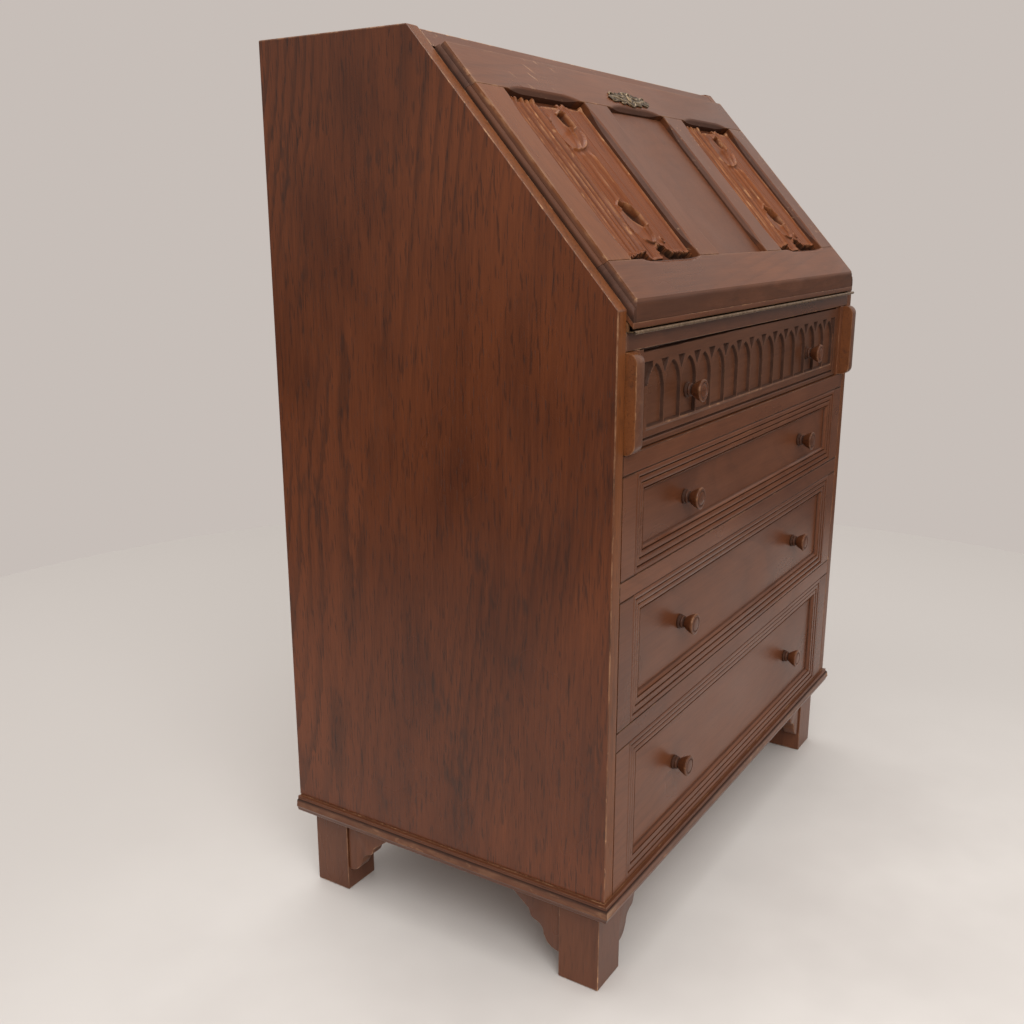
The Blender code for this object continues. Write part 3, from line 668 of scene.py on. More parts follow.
def linenfold(gx, gy):
    """Carved cloth: reeds up the panel, two turned-back folds over deep openings, scalloped ends."""
    px = gx - gx.min()
    py = gy - gy.min()
    wander = 0.0006 * np.sin(py * 31.0 + px * 18.0)
    face = CLOTH + 0.0009 * np.sin((px - 0.062) * 38.0)
    face -= 0.0012 * step(px, 0.0, 0.012) * (1.0 - step(px, 0.050, 0.064))
    face += 0.00016 * np.sin(px * 2300.0 + 0.8 * np.sin(py * 40.0))
    for centre, half, rise in REEDS:
        face += rise * hill(px + wander, centre, half)
    between = step(py, 0.066, 0.084) * (1.0 - step(py, 0.138, 0.152))
    for centre, half, rise in MIDDLE_REEDS:
        face += rise * hill(px + wander, centre, half) * between
    face -= 0.0013 * hill(px, 0.0895, 0.0042) * between
    face -= 0.0015 * hill(px, 0.1065, 0.0020) * between
    face -= 0.0012 * hill(px, 0.0665, 0.0030)

    for corners, oval in ((UPPER_HOLLOW, (0.0800, 0.1760, 0.0165, 0.0260, 0.12)),
                          (LOWER_HOLLOW, (0.0830, 0.0460, 0.0170, 0.0225, -0.20))):
        out = lobe(px, py, *oval)
        face = face * (1.0 - 0.85 * (out < 1.0)) + (CLOTH - 0.0016 + 0.0022 * out ** 2) * 0.85 * (out < 1.0)
        low_right = step(px - oval[0] - (py - oval[1]) * 0.7, 0.000, 0.010)
        face += 0.0026 * hill(out, 1.03, 0.055) * low_right
        deep = polygon_distance(px, py, corners)
        face += 0.0014 * hill(deep, 0.0012, 0.0010) * (out > 1.0)
        cut_away = 1.0 - step(deep, -0.0022, 0.0002)
        face = face * (1.0 - cut_away) + 0.0048 * cut_away

    # the edge of the fold that sweeps from the upper oval round below the opening
    sweep = np.hypot((px - 0.0790) / 0.0400, (py - 0.1900) / 0.0400)
    low_right = (px > 0.079) * (1.0 - step(py, 0.1760, 0.1860)) * step(px, 0.079, 0.092)
    face += 0.0030 * hill(sweep, 1.0, 0.030) * low_right * (1.0 - step(px, 0.114, 0.119))
    face -= 0.0009 * step(1.0 - sweep, 0.02, 0.12) * low_right * (1.0 - step(px, 0.100, 0.117)) * (
        polygon_distance(px, py, UPPER_HOLLOW) > 0.001)
    spot = np.hypot((px - 0.117) / 0.0042, (py - 0.0268) / 0.0030)
    face -= 0.0042 * (1.0 - step(spot, 0.5, 1.1))
    face += 0.0018 * hill(spot, 1.35, 0.22) * (px < 0.117)

    # scalloped ends of the cloth
    tips = np.zeros_like(px)
    for centre, half, rise in REEDS + [(0.1060, 0.003, 0.002), (0.1180, 0.004, 0.003)]:
        tips = np.maximum(tips, hill(px, centre, half * 1.1) * min(1.0, rise / 0.0028))
    top_end = PANEL_LENGTH - 0.0068 + 0.0040 * tips - 0.0030 * step(px, 0.061, 0.066) * (px < 0.103)
    ripple = 0.0012 * np.sin(px * 900.0) + 0.0009 * np.sin(px * 1530.0 + 1.0)
    low_end = np.interp(px, *zip(*LOW_END)) + ripple * ((px < 0.058) | (px > 0.088))
    covered = step(top_end - py, 0.0, 0.0007) * step(py - low_end, 0.0, 0.0007)
    covered *= step(np.minimum(px, PANEL_WIDTH - px), 0.0001, 0.0009)
    lift = 0.0010 * hill(py - low_end, 0.002, 0.0016)
    lift += 0.0016 * tips * hill(top_end - py, 0.0035, 0.0030)
    depth = GROUND - 0.0025 * hill(py, low_end, 0.004) * (py < low_end)
    return depth + (face + lift - depth) * covered


def linenfold_marks(gx, gy, face):
    """Pale crests, palest at the tips near the top, rubbed and a painted highlight; painted shade between the
    crests, under the lower ends of the cloth, on the sunk ground and in the openings.
    """
    # Crests paler and hollows darker than their surroundings: wear and painted highlight on the crests,
    # painted shade between them.
    proud = (face - blurred(face, 5)) / 0.0011
    top = PANEL_LENGTH - (gy - gy.min())
    tips = step(face, CLOTH + 0.0008, CLOTH + 0.0026) * hill(top, 0.006, 0.010)
    wear = np.maximum(np.clip(proud - 0.30, 0.0, 0.60), tips)
    dirt = np.clip(-proud * 0.55 - 0.05, 0.0, 0.60)
    # Painted shade under the lower ends of the cloth, and on the sunk ground and in the openings.
    foot = 1.0 - step(gy - gy.min(), 0.020, 0.034)
    under = foot * step(np.gradient(face, CARVE_STEP, axis=1), 0.5, 1.1)
    wear *= 1.0 - 0.70 * foot
    return wear, np.maximum(np.maximum(dirt, 0.95 * under), 0.9 * (1.0 - step(face, 0.0050, 0.0086)))


for seed, (side, sign) in enumerate(SIDES):
    low, high = fall_box("fall_panel_" + side)
    count_x = round((high[0] - low[0]) / CARVE_STEP) + 1
    count_y = round((high[1] - low[1]) / CARVE_STEP) + 1
    fall_relief("linenfold_" + side, np.linspace(low[0], high[0], count_x),
                np.linspace(low[1], high[1], count_y), linenfold, "fall_panel_" + side,
                ("carved", "Y", 8 + seed), linenfold_marks, "oak_carved")
dress("fall_panel_centre", "panel", "Y", 7, 0.0004)
dress("fall_writing_board", "front", "X", 10, 0.0005)

# ---- arcaded drawer front
ARCH_COUNT = 15
ARCH_PITCH = 0.0404
ARCH_HALF = 0.0192
ARCH_FOOT = 0.6180
ARCH_SPRING = 0.6520
ARCH_APEX = 0.6800
SINK = 0.0038
SPANDREL_LOW = 0.6690
SPANDREL_TOP = 0.6830
SPANDREL_HALF = 0.0088
SPANDREL_SINK = 0.0028
BORDER_X = 0.3105
BORDER_LOW = 0.6065
ARCADE_SETBACK = 0.0028  # the arcaded front stands a little behind the rails
GAP = 0.0034  # dark gap over the drawer, and how much of it is lost towards the right
GAP_LOSS = 0.0018
low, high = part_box("drawer_1_front")
ARCADE_Y = FRONT_Y + ARCADE_SETBACK
ARCADE = Matrix.Translation((0.0, ARCADE_Y, 0.0)) @ Matrix.Rotation(math.pi / 2, 4, "X")


def arch_distance(dx, z):
    """Signed distance to a pointed arch on a flat foot, less than nothing inside it."""
    rise = ARCH_APEX - ARCH_SPRING
    radius = (ARCH_HALF ** 2 + rise ** 2) / (2 * ARCH_HALF)
    curved = np.hypot(np.abs(dx) + radius - ARCH_HALF, z - ARCH_SPRING) - radius
    straight = np.abs(dx) - ARCH_HALF
    return np.maximum(np.where(z > ARCH_SPRING, curved, straight), ARCH_FOOT - z)


def nearest_arch(gx, gz):
    bay = np.clip(np.round(gx / ARCH_PITCH), -(ARCH_COUNT // 2), ARCH_COUNT // 2)
    return arch_distance(gx - bay * ARCH_PITCH, gz)


def spandrel_distance(gx, gz):
    """Signed distance to the sunk triangles between arch heads; the end ones run down to the border."""
    between = np.abs(np.abs(gx / ARCH_PITCH) % 1.0 - 0.5) * ARCH_PITCH
    slant = (gz - SPANDREL_LOW) * SPANDREL_HALF / (SPANDREL_TOP - SPANDREL_LOW)
    triangle = np.maximum((between - slant) * 0.84, gz - SPANDREL_TOP)
    last = ARCH_COUNT / 2 * ARCH_PITCH
    end = np.maximum(np.maximum(0.0012 - nearest_arch(gx, gz), np.abs(gx) - BORDER_X),
                     np.maximum(0.6600 - gz, gz - SPANDREL_TOP))
    end = np.maximum(end, last - 0.0120 - np.abs(gx))
    return np.where(np.abs(gx) > last - 0.0120, end, triangle)


def arcade(gx, gz):
    """Sunk lancets between thin piers, sunk spandrels between their heads, a sill and a grooved border."""
    face = -eased(border(gx, gz), 0.0010)
    gap = GAP - GAP_LOSS * step(gx, -0.32, -0.05)
    face -= 0.0060 * step(gz - gz.max() + gap, 0.0, 0.0006) * (np.abs(gx) < BORDER_X + 0.002)
    face -= SINK * (1.0 - step(nearest_arch(gx, gz), -0.0015, 0.0002))
    face -= SPANDREL_SINK * (1.0 - step(spandrel_distance(gx, gz), -0.0010, 0.0001))
    side_groove = hill(np.abs(gx), BORDER_X, 0.0009)
    side_groove *= step(gz, BORDER_LOW - 0.0008, BORDER_LOW) * (1.0 - step(gz, 0.664, 0.672))
    foot_groove = hill(gz, BORDER_LOW, 0.0009) * (np.abs(gx) < BORDER_X + 0.0006)
    face -= 0.0026 * np.maximum(side_groove, foot_groove)
    sill_nose = hill(gz - ARCH_FOOT, -0.0016, 0.0011) * (np.abs(gx) < BORDER_X - 0.006)
    face += 0.0006 * sill_nose
    return face


def arcade_marks(gx, gz, face):
    """Painted shade on the cut walls and in the sunk spandrels; a pale sill, rubbed and a painted highlight;
    rubbed arrises.
    """
    across = np.gradient(face, gx[:, 0], axis=0)
    up = np.gradient(face, gz[0], axis=1)
    # Painted shade on the steep cut walls.
    wall_shade = step(np.hypot(across, up), 0.5, 1.4)
    sunk = 1.0 - step(spandrel_distance(gx, gz), -0.0012, 0.0004)
    # The sill's pale line is wear and a painted highlight.
    sill = hill(gz - ARCH_FOOT, -0.0012, 0.0009) * (np.abs(gx) < BORDER_X - 0.008)
    arch_wear = hill(nearest_arch(gx, gz), 0.0006, 0.0006)
    wear = np.maximum(edge_wear(gx, gz), np.maximum(0.8 * sill, 0.18 * arch_wear))
    return wear, np.maximum(0.80 * wall_shade, 0.72 * sunk) * (1.0 - 0.6 * sill)


relief("arcade_front", np.linspace(low.x, high.x, 1181), np.linspace(low.z, high.z, 181), arcade,
       ARCADE_Y - high.y, "drawer_1", ["drawer_1_front"], ("arcade", "X", 11), ARCADE, "oak_carved",
       arcade_marks)

# ---- drawers with frame mouldings
def bulge(start, end, rise, count=6):
    """Points of a round stretch from start to end that stands out by rise; the end is left off."""
    a, b = Vector(start), Vector(end)
    normal = Vector((a.y - b.y, b.x - a.x)).normalized()
    points = []
    for i in range(count):
        t = i / count
        points.append(tuple(a.lerp(b, t) + normal * rise * 4.0 * t * (1.0 - t)))
    return points


# Width from the outer edge inwards and height above the sunk field: three stepped ridges with quirks
# between them, then a hollow down to the field.
FIELD_DEPTH = 0.007
RIDGE_PITCH = 0.0072
RIDGE_DROP = 0.0010
frame_profile = [(0.0, 0.0003), (0.0, 0.0064)]
for i in range(3):
    start = RIDGE_PITCH * i + (0.0005 if i == 0 else 0.0)
    end = RIDGE_PITCH * (i + 1) - 0.0018
    top = 0.0070 - RIDGE_DROP * i
    frame_profile += bulge((start, top), (end, top - 0.0004), 0.0004, 5)
    frame_profile += [(end, top - 0.0004), (end + 0.0003, top - 0.0030), (end + 0.0015, top - 0.0030)]
frame_profile += bulge((0.0217, 0.0044), (0.0248, 0.0008), -0.0004, 5)
frame_profile += [(0.0250, 0.0003)]
QUIRKS = [k for k in range(1, len(frame_profile) - 1)
          if frame_profile[k][1] < frame_profile[k - 1][1] - 0.001 or
          frame_profile[k][1] < frame_profile[k + 1][1] - 0.001]


def frame_marks():
    """Painted shade in the quirks and at the foot of the hollow beside the field; a rubbed outer arris on
    each ridge.
    """
    dirt = np.zeros(len(frame_profile))
    # Painted shade in the quirks, and at the foot of the hollow where it meets the field.
    dirt[QUIRKS] = 0.95
    dirt[-2:] = 0.55
    wear = np.zeros(len(frame_profile))
    for k in QUIRKS:
        if k + 1 not in QUIRKS:
            wear[k + 1] = 0.35
    return wear, dirt


def ring_faces(rings, count, closed):
    faces = []
    for i in range(rings if closed else rings - 1):
        j = (i + 1) % rings
        for k in range(count):
            m = (k + 1) % count
            faces.append((i * count + k, i * count + m, j * count + m, j * count + k))
    if not closed:
        faces.append(tuple(range(count)))
        faces.append(tuple((rings - 1) * count + k for k in range(count)))
    return faces


for number in (2, 3, 4):
    label = "drawer_%d_" % number
    # The bevels of the drawer fronts are painted dark: painted shade that widens the gaps.
    dress(label + "front", "front", "X", 11 + number, 0.0008, edge=0.4, edge_tone="seam")
    low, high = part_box(label + "moulding")
    field_y = FRONT_Y + FIELD_DEPTH
    rings = []
    for x, z, sx, sz in ((low.x, low.z, 1, 1), (high.x, low.z, -1, 1),
                         (high.x, high.z, -1, -1), (low.x, high.z, 1, -1)):
        rings += [(x + sx * inward, field_y - rise, z + sz * inward) for inward, rise in frame_profile]
    wear, dirt = frame_marks()
    piece(label + "frame", rings, ring_faces(4, len(frame_profile), True), "drawer_%d" % number,
          [label + "moulding"], ("front", "X", 15 + number), wear=np.tile(wear, 4), dirt=np.tile(dirt, 4))

# ---- turned knobs
KNOB_SIDES = 48
knob_profile = [(0.0, 0.0), (0.0, 0.0080)]
knob_profile += bulge((0.0002, 0.0082), (0.0024, 0.0080), 0.0003, 4)
knob_profile += [(0.0026, 0.0068), (0.0031, 0.0066)]
knob_profile += bulge((0.0033, 0.0068), (0.0062, 0.0066), 0.0007, 6)
knob_profile += [(0.0065, 0.0055), (0.0072, 0.0054), (0.0076, 0.0060)]
knob_profile += bulge((0.0080, 0.0064), (0.0182, 0.0119), 0.0005, 8)
knob_profile += bulge((0.0184, 0.0121), (0.0202, 0.0112), 0.0005, 6)
knob_profile += [(0.0204, 0.0102), (0.0203, 0.0092), (0.0196, 0.0087), (0.0195, 0.0081), (0.0201, 0.0076),
                 (0.0204, 0.0066), (0.0206, 0.0040), (0.0207, 0.0)]
knob_low, knob_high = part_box("drawer_2_knob_left")
KNOB_SEAT = {1: ARCADE_Y + SINK - 0.0004, 2: knob_high.y, 3: knob_high.y, 4: knob_high.y}
KNOB_LONG = knob_high.y - knob_low.y


def knob_dirt(out, radius):
    """Painted shade: round the seat, over the collar, in the groove of the neck and in the ring of the face.
    """
    if 0.0075 < radius < 0.0090 and out > 0.019:
        return 0.40
    if 0.0064 < out < 0.0078:
        return 0.85
    if out < 0.0032:
        return 0.70
    return 0.40 if out < 0.0065 else 0.0


def knob(name, number, centre_x, centre_z, seed):
    scale = KNOB_LONG / knob_profile[-1][0]
    verts = []
    wear = []
    dirt = []
    for out, radius in knob_profile[1:-1]:
        for i in range(KNOB_SIDES):
            turn = 2.0 * math.pi * i / KNOB_SIDES
            verts.append((centre_x + radius * math.cos(turn), KNOB_SEAT[number] - out * scale,
                          centre_z + radius * math.sin(turn)))
        wear += [0.35 if 0.0112 < radius and out > 0.018 else 0.0] * KNOB_SIDES
        dirt += [knob_dirt(out, radius)] * KNOB_SIDES
    faces = ring_faces(len(knob_profile) - 2, KNOB_SIDES, False)
    piece(name + "_turned", verts, faces, "drawer_%d" % number, [name], ("turned", "Y", seed),
          slot="oak_carved", wear=wear, dirt=dirt)


for number in (1, 2, 3, 4):
    for side, sign in SIDES:
        label = "drawer_%d_knob_%s" % (number, side)
        low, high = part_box(label)
        knob(label, number, (low.x + high.x) / 2, (low.z + high.z) / 2, 20 + number * 2 + (sign > 0))

# ---- shaped boards: brackets and lopers
PROFILE_X = Matrix(((0, 0, 1, 0), (1, 0, 0, 0), (0, 1, 0, 0), (0, 0, 0, 1)))    # local X, Y, Z along Y, Z, X
PROFILE_Y = Matrix.Rotation(math.pi / 2, 4, "X")                                # local X, Y, Z along X, Z, -Y


def arc(cx, cy, radius, start, end, steps):
    turns = [math.radians(start + (end - start) * i / steps) for i in range(steps + 1)]
    return [(cx + radius * math.cos(t), cy + radius * math.sin(t)) for t in turns]


def inset(outline, distance):
    """A closed anticlockwise outline moved inwards."""
    result = []
    for k, point in enumerate(outline):
        before = (Vector(point) - Vector(outline[k - 1])).normalized()
        after = (Vector(outline[(k + 1) % len(outline)]) - Vector(point)).normalized()
        first, second = Vector((-before.y, before.x)), Vector((-after.y, after.x))
        spread = max(0.4, 1.0 + first.dot(second))
        result.append(tuple(Vector(point) + (first + second) * distance / spread))
    return result


def slab(name, outline, near, far, place, body, replaced, wood, ease=0.0012):
    """An outline sawn out of a board, with eased arrises."""
    turn = sum(a[0] * b[1] - b[0] * a[1] for a, b in zip(outline, outline[1:] + outline[:1]))
    if turn < 0:
        outline = outline[::-1]
    verts = []
    for distance, level in ((ease, near), (ease * 0.3, near + ease * 0.3), (0.0, near + ease),
                            (0.0, far - ease), (ease * 0.3, far - ease * 0.3), (ease, far)):
        verts += [(u, v, level) for u, v in inset(outline, distance)]
    rubbed_and_highlit = [0.0, 1.0, 0.2, 0.2, 1.0, 0.0]
    wear = [w for w in rubbed_and_highlit for _ in outline]
    return piece(name, verts, ring_faces(6, len(outline), False), body, replaced, wood, place,
                 wear=wear, dirt=np.zeros(len(verts)))


def wing_outline(start, sign, top):
    """Bracket wing beside a leg block: a round lobe, a hollow, a smaller lobe and a sloping run-out."""
    shape = [(0.0, top), (0.0, 0.0290)]
    shape += arc(0.0010, 0.0480, 0.0193, -86, -20, 9)
    shape += arc(0.0335, 0.0455, 0.0125, 185, 105, 7)
    shape += arc(0.0305, 0.0665, 0.0085, -72, -5, 6)
    shape += [(0.0410, 0.0700), (0.0470, 0.0750), (0.0600, 0.0851), (0.0740, 0.0960), (0.0740, top)]
    return [(start + sign * u, z) for u, z in shape]


for seed, (side, sign) in enumerate(SIDES):
    for end, run in (("front", 1), ("rear", -1)):
        low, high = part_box("bracket_side_%s_%s" % (end, side))
        outline = wing_outline(low.y if run == 1 else high.y, run, high.z)
        slab("wing_side_%s_%s" % (end, side), outline, low.x, high.x, PROFILE_X, "carcass",
             ["bracket_side_%s_%s" % (end, side)], ("base", "Y", 47 + seed + (4 if run < 0 else 0)))
    low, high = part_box("bracket_front_" + side)
    outline = wing_outline(low.x if sign < 0 else high.x, -sign, high.z)
    slab("wing_front_" + side, outline, -high.y, -low.y, PROFILE_Y, "carcass", ["bracket_front_" + side],
         ("base", "Y", 49 + seed))
    low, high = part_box("loper_" + side)
    radius = 0.0105
    outline = [(high.y, low.z), (high.y, high.z)]
    outline += arc(low.y + radius, high.z - radius, radius, 90, 180, 8)
    outline += arc(low.y + radius, low.z + radius, radius, 180, 270, 8)
    loper = slab("loper_board_" + side, outline, low.x, high.x, PROFILE_X, "loper_" + side,
                 ["loper_" + side], ("edge", "Z", 41 + seed), 0.0014)
    # The loper's front faces take the greyer band tone, a painted sheen; its sides and ends keep the orange
    # edge tone.
    loper.data.materials.append(oak("band", "X", 63 + seed))
    for face in loper.data.polygons:
        if face.normal.x < -0.6:
            face.material_index = 1

# ---- base moulding, mitred at the front
# Projection from the carcass and height: undercut, rounded face, quirk and top bead.
foot, top = (corner.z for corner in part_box("base_moulding_left"))
moulding_profile = [(0.0003, foot), (0.0034, foot), (0.0040, foot + 0.0006)]
moulding_profile += bulge((0.0046, foot + 0.0014), (0.0066, foot + 0.0068), 0.0004, 4)
moulding_profile += bulge((0.0069, foot + 0.0072), (0.0062, top - 0.0052), 0.0003, 4)
moulding_profile += [(0.0056, top - 0.0046), (0.0040, top - 0.0043), (0.0037, top - 0.0038)]
moulding_profile += bulge((0.0044, top - 0.0034), (0.0046, top - 0.0004), 0.0010, 6)
moulding_profile += [(0.0036, top), (0.0003, top)]
MITRE_GAP = 0.0002
CHIPS = (0.0, 0.001, 0.004, 0.007, 0.011, 0.016, 0.024)  # rings near the mitre, where it is knocked pale
moulding_dirt = [0.8 if top - 0.0050 < z < top - 0.0035 and out < 0.0060 else 0.0
                 for out, z in moulding_profile]
moulding_wear = [0.5 if out > 0.0060 or z > top - 0.0030 and out > 0.004 else 0.0
                 for out, z in moulding_profile]


def moulding(name, ends, knocks, replaced, grain, seed):
    """Sweeps the profile through ring positions; each knock is how badly that ring is rubbed."""
    count = len(moulding_profile)
    wear = [min(1.0, w * k) for k in knocks for w in moulding_wear]
    piece(name, [p for ring in ends for p in ring], ring_faces(len(ends), count, False), "carcass",
          [replaced], ("base", grain, seed), wear=wear, dirt=moulding_dirt * len(ends))


def front_ring(sign, back_off):
    reach = HALF_WIDTH - MITRE_GAP - back_off
    return [(sign * (reach + out), FRONT_Y - out, z) for out, z in moulding_profile]


def side_ring(sign, back_off):
    front = FRONT_Y + MITRE_GAP + back_off
    return [(sign * (HALF_WIDTH + out), front - out, z) for out, z in moulding_profile]


knocks = [1.6, 2.0, 1.8, 1.6, 1.3, 1.0, 0.5]
rings = [front_ring(-1, d) for d in CHIPS] + [front_ring(1, d) for d in reversed(CHIPS)]
moulding("base_run_front", rings, knocks + knocks[::-1], "base_moulding_front", "X", 55)
for seed, (side, sign) in enumerate(SIDES):
    rings = [side_ring(sign, d) for d in CHIPS]
    rings.append([(sign * (HALF_WIDTH + out), BACK_Y, z) for out, z in moulding_profile])
    moulding("base_run_" + side, rings, knocks + [0.5], "base_moulding_" + side, "Y", 53 + seed)

# ---- boards that keep their CAD shape
for seed, (side, sign) in enumerate(SIDES):
    panel = dress("side_" + side, "case", "Z", 30 + seed, 0.0012, (0.075, -0.060))
    panel.data.materials.append(oak("edge", "Z", 60 + seed))
    for face in panel.data.polygons:
        if abs(face.normal.x) < 0.5 and face.normal.y < -0.5:
            face.material_index = 2
dress("top_board", "fall", "X", 32, 0.0010)
dress("back_panel", "inside", "Z", 33, 0.0005)
dress("base_board", "front", "X", 34)
dress("writing_bed", "band", "X", 35, 0.0010)
# The bevels of the rails are painted dark: painted shade that widens the gaps.
for seed, level in enumerate(("upper", "middle", "lower")):
    dress("drawer_rail_" + level, "front", "X", 36 + seed, 0.0007, edge=0.4, edge_tone="seam")
for seed, (side, sign) in enumerate(SIDES):
    dress("loper_guide_" + side, "front", "Z", 39 + seed, 0.0006)
    dress("foot_front_" + side, "base", "Z", 43 + seed, 0.0014)
    dress("foot_rear_" + side, "base", "Z", 45 + seed, 0.0014)
dress("pigeonhole_gallery", "inside", "X", 56, 0.0006)
for number in (1, 2, 3, 4):
    dress("drawer_%d_box" % number, "inside", "Y", 56 + number, 0.0006)

# ---- brasswork
OLD_BRASS = brass("brass_aged", rgb(0.070, 0.040, 0.020), rgb(0.420, 0.310, 0.190))
HINGE_BRASS = brass("brass_hinge", rgb(0.120, 0.068, 0.033), rgb(0.250, 0.160, 0.085), 0.30)

# Long hinge: a barrel of knuckles, with the fixed leaf lying just above the edge of the bed behind it.
BARREL = 0.0018
KNUCKLE = 0.0140
KNUCKLE_SIDES = 14
BARREL_LEFT = -0.3562
BARREL_RIGHT = 0.3525
LEAF_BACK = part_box("hinge_bed_leaf")[1].y
LEAF_GAP = 0.0003  # the leaf clears the bed, so that the two never share a face
LEAF_THICK = 0.0006
knuckles = round((BARREL_RIGHT - BARREL_LEFT) / KNUCKLE)
pitch = (BARREL_RIGHT - BARREL_LEFT) / knuckles
verts = []
dirt = []
for k in range(3 * knuckles + 1):
    groove = k % 3 == 0
    along = (k // 3) * pitch + (0.0, 0.0003, pitch - 0.0003)[k % 3]
    for i in range(KNUCKLE_SIDES):
        turn = 2.0 * math.pi * i / KNUCKLE_SIDES
        radius = BARREL * (0.74 if groove else 1.0)
        verts.append((BARREL_LEFT + along, HINGE.y + radius * math.cos(turn),
                      HINGE.z + radius * math.sin(turn)))
    dirt += [0.9 if groove else 0.15] * KNUCKLE_SIDES
faces = ring_faces(3 * knuckles + 1, KNUCKLE_SIDES, False)
count = len(verts)
leaf_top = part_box("writing_bed")[1].z + LEAF_GAP + LEAF_THICK
leaf_foot = leaf_top - LEAF_THICK
profile = [(HINGE.y, leaf_foot), (LEAF_BACK, leaf_foot), (LEAF_BACK, leaf_top - 0.0002),
           (LEAF_BACK - 0.0002, leaf_top), (HINGE.y, leaf_top)]
verts += [(x, y, z) for x in (BARREL_LEFT, BARREL_RIGHT) for y, z in profile]
faces += [tuple(count + v for v in face) for face in ring_faces(2, len(profile), False)]
dirt += [0.3] * (2 * len(profile))
piece("hinge_barrel", verts, faces, "carcass", ["hinge_bed_leaf"], HINGE_BRASS, slot="aged_brass",
      dirt=dirt, wear=[0.0] * len(dirt))

# A wedge of wood beside each end of the hinge hides the gap under the closed fall.
STOP_X = (0.3505, 0.3564)
STOP_FOOT = 0.7158
stop_outline = [(-0.2080, STOP_FOOT), (-0.2085, 0.7163), (-0.2085, 0.7226), (-0.2083, 0.7234),
                (-0.2078, 0.7242), (-0.2000, 0.7329), (-0.1992, 0.7334), (-0.1984, 0.7330),
                (-0.1980, 0.7322), (-0.1980, STOP_FOOT)]
for seed, (side, sign) in enumerate(SIDES):
    ends = sorted((sign * STOP_X[0], sign * STOP_X[1]))
    verts = [(x, y, z) for x in ends for y, z in stop_outline]
    piece("fall_stop_" + side, verts, ring_faces(2, len(stop_outline), False), "carcass", [],
          ("edge", "Z", 90 + seed), dirt=[0.1] * len(verts), wear=[0.3] * len(verts))


def recolour(name, material):
    """Keeps a CAD node and changes only its material."""
    nodes[name].data.materials.clear()
    nodes[name].data.materials.append(material)


recolour("hinge_fall_leaf", HINGE_BRASS)

# Escutcheon: scrolled leaves over a thin plate, in the fall's own frame.
plate_low, plate_high = fall_box("escutcheon")
CREST_U = (plate_low[1] + plate_high[1]) / 2
PLATE_W = plate_low[2]


def join_rings(verts, faces, rings):
    """Adds a closed shape, given as rings of points, to the lists of a piece."""
    base = len(verts)
    count = len(rings[0])
    verts += [point for ring in rings for point in ring]
    faces += [tuple(base + v for v in face) for face in ring_faces(len(rings), count, False)]


def smooth_path(points, steps=7):
    """Catmull-Rom curve through the points."""
    points = [Vector(p) for p in points]
    padded = [points[0] * 2 - points[1]] + points + [points[-1] * 2 - points[-2]]
    path = []
    for k in range(1, len(padded) - 2):
        a, b, c, d = padded[k - 1:k + 3]
        for i in range(steps):
            t = i / steps
            path.append(0.5 * (2 * b + (c - a) * t + (2 * a - 5 * b + 4 * c - d) * t * t
                               + (3 * b - a - 3 * c + d) * t ** 3))
    path.append(points[-1])
    return path


LEAF_WEAR = (0.0, 0.2, 0.7, 1.0, 0.7, 0.2, 0.0)        # of the points across a leaf


def leaf(points, widest, rise):
    """Rings of a strip that swells and tapers along a curve, flat beneath and round above."""
    path = smooth_path(points)
    rings = []
    for k, centre in enumerate(path):
        ahead = path[min(k + 1, len(path) - 1)] - path[max(k - 1, 0)]
        normal = Vector((-ahead.y, ahead.x)).normalized()
        t = k / (len(path) - 1)
        swell = 0.22 + 0.78 * math.sin(math.pi * (0.12 + 0.82 * t))
        ring = []
        for i in range(len(LEAF_WEAR)):
            turn = math.pi * i / (len(LEAF_WEAR) - 1)
            offset = centre + normal * (widest * swell * math.cos(turn))
            ring.append((offset.x, offset.y, PLATE_W + 0.0002 + rise * swell * math.sin(turn)))
        rings.append(ring)
    return rings


# Strokes of the right half, in metres from the centre of the plate: points, half width, rise.
STROKES = [
    ([(0.002, -0.006), (0.012, -0.003), (0.024, -0.0035), (0.036, 0.000), (0.047, 0.001), (0.052, -0.002)],
     0.0021, 0.0022),
    ([(0.004, 0.002), (0.012, 0.004), (0.020, 0.002), (0.028, 0.004), (0.036, 0.006)], 0.0018, 0.0022),
    ([(0.030, 0.001), (0.038, 0.005), (0.046, 0.007), (0.050, 0.005), (0.048, 0.002)], 0.0015, 0.0020),
    ([(0.000, 0.004), (0.004, 0.009), (0.009, 0.010), (0.011, 0.007), (0.008, 0.005)], 0.0016, 0.0022),
    ([(0.014, -0.003), (0.019, -0.007), (0.026, -0.008), (0.029, -0.005)], 0.0014, 0.0018),
    ([(0.000, -0.011), (0.006, -0.009), (0.011, -0.0055), (0.013, -0.001)], 0.0017, 0.0020),
    ([(0.034, -0.001), (0.041, -0.005), (0.048, -0.006), (0.052, -0.004)], 0.0013, 0.0016),
]
verts = []
faces = []
wear = []
for sign in (-1, 1):
    for points, widest, rise in STROKES:
        rings = leaf([(sign * 0.92 * x, CREST_U + y) for x, y in points], widest, rise)
        join_rings(verts, faces, rings)
        wear += LEAF_WEAR * len(rings)
BOSS_SIDES = 16
boss = []
for out, radius, rub in ((0.0, 0.0042, 0.0), (0.0012, 0.0040, 0.3), (0.0022, 0.0031, 0.8),
                         (0.0028, 0.0016, 1.0), (0.0029, 0.0004, 1.0)):
    ring = []
    for i in range(BOSS_SIDES):
        turn = 2.0 * math.pi * i / BOSS_SIDES
        ring.append((radius * math.cos(turn), CREST_U + 0.0005 + 1.4 * radius * math.sin(turn),
                     PLATE_W + 0.0002 + out))
    boss.append(ring)
    wear += [rub] * BOSS_SIDES
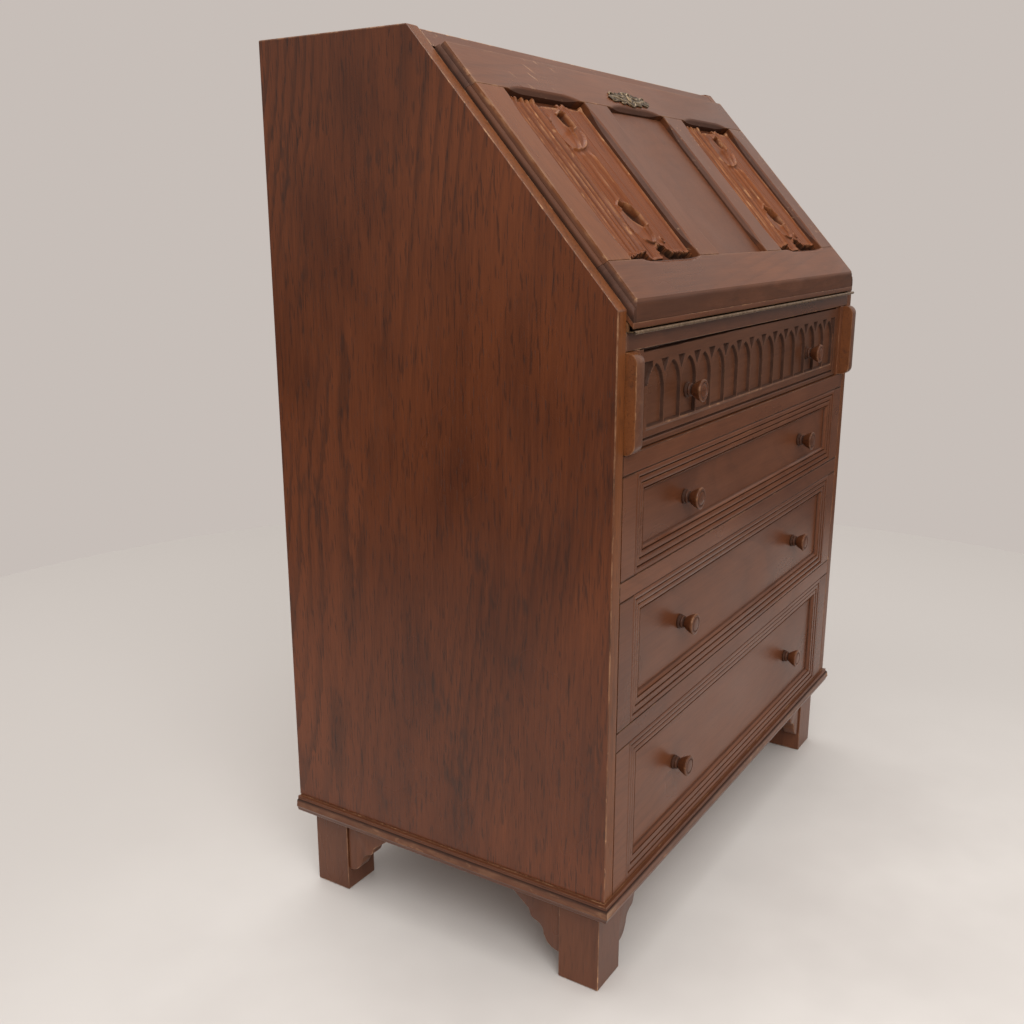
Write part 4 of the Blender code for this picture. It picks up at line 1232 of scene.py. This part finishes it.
join_rings(verts, faces, boss)
piece("escutcheon_scrolls", verts, faces, "fall", [], OLD_BRASS, FALL, "aged_brass",
      wear=wear, dirt=np.zeros(len(verts)))
recolour("escutcheon", brass("brass_plate", rgb(0.060, 0.036, 0.018), rgb(0.300, 0.210, 0.110)))

# ---- stage
FLOOR_RADIUS = 1.7
mesh = bpy.data.meshes.new("floor")
bm = bmesh.new()
bmesh.ops.create_circle(bm, cap_ends=True, segments=128, radius=FLOOR_RADIUS)
bm.to_mesh(mesh)
bm.free()
floor = add_object("floor", mesh)
floor.location = (0.0, 0.0, -0.0005)
floor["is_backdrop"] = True
material, g, shader = new_material("pale_floor")
point = g.add("TexCoord").outputs["Object"]
cloud = g.noise(point, 2.2, 2.2, detail=4.0, roughness=0.6)
# The floor is painted darker away from a spot in front of the desk and to its left: a painted pool of light.
distance_from_painted_light = g.vector("LENGTH", g.vector("SUBTRACT", point, (-0.40, -0.50, 0.0)))
plain = g.mix(g.ramp(cloud, 0.3, 0.7), rgb(0.62, 0.585, 0.555), rgb(0.72, 0.685, 0.65))
g.put(shader, "Base Color", g.mix(g.ramp(distance_from_painted_light, 0.25, 1.30), plain, rgb(0.50, 0.47, 0.445)))
shader.inputs["Roughness"].default_value = 0.55
mesh.materials.append(material)

world = bpy.data.worlds.new("studio")
bpy.context.scene.world = world
world.use_nodes = True
g = Graph(world.node_tree)
direction = g.add("TexCoord").outputs["Generated"]
split = g.add("SeparateXYZ", None, Vector=direction).outputs
sky = g.mix(g.ramp(split["Z"], 0.15, 0.9), rgb(0.57, 0.515, 0.48), rgb(0.80, 0.77, 0.74))
backdrop = g.times(g.ramp(split["X"], 0.12, 0.30), g.ramp(split["Y"], -0.16, 0.06))
room = g.ramp(split["Z"], -0.12, 0.10, 0.20, 1.0)
shade = g.math("MAXIMUM", backdrop, room)
g.put(world.node_tree.nodes["Background"], "Color", sky)
g.put(world.node_tree.nodes["Background"], "Strength", shade)


def softbox(name, place, aim, size, power):
    lamp = bpy.data.lights.new(name, "AREA")
    lamp.shape = "RECTANGLE"
    lamp.size, lamp.size_y = size
    lamp.energy = power
    obj = add_object(name, lamp)
    obj.location = place
    obj.rotation_euler = (Vector(aim) - Vector(place)).to_track_quat("-Z", "Y").to_euler()


softbox("overhead", (0.1, 0.4, 3.0), (0.0, 0.0, 0.3), (2.6, 2.6), 46.0)
softbox("key", (-2.1, -2.0, 2.6), (0.0, 0.0, 0.4), (2.2, 2.2), 74.0)

# ---- camera
VIEW_TURN = math.radians(57.454)
VIEW_TILT = math.radians(-14.808)
camera_data = bpy.data.cameras.new("camera")
camera_data.lens = 38.52
camera_data.sensor_width = 36.0
camera = add_object("camera", camera_data)
camera.location = (-1.2764, -0.6698, 0.8147)
camera.rotation_euler = (math.pi / 2 + VIEW_TILT, math.radians(0.05), -VIEW_TURN)
bpy.context.scene.camera = camera
bpy.context.scene.view_settings.view_transform = "Standard"

bpy.context.view_layer.update()
low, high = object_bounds()
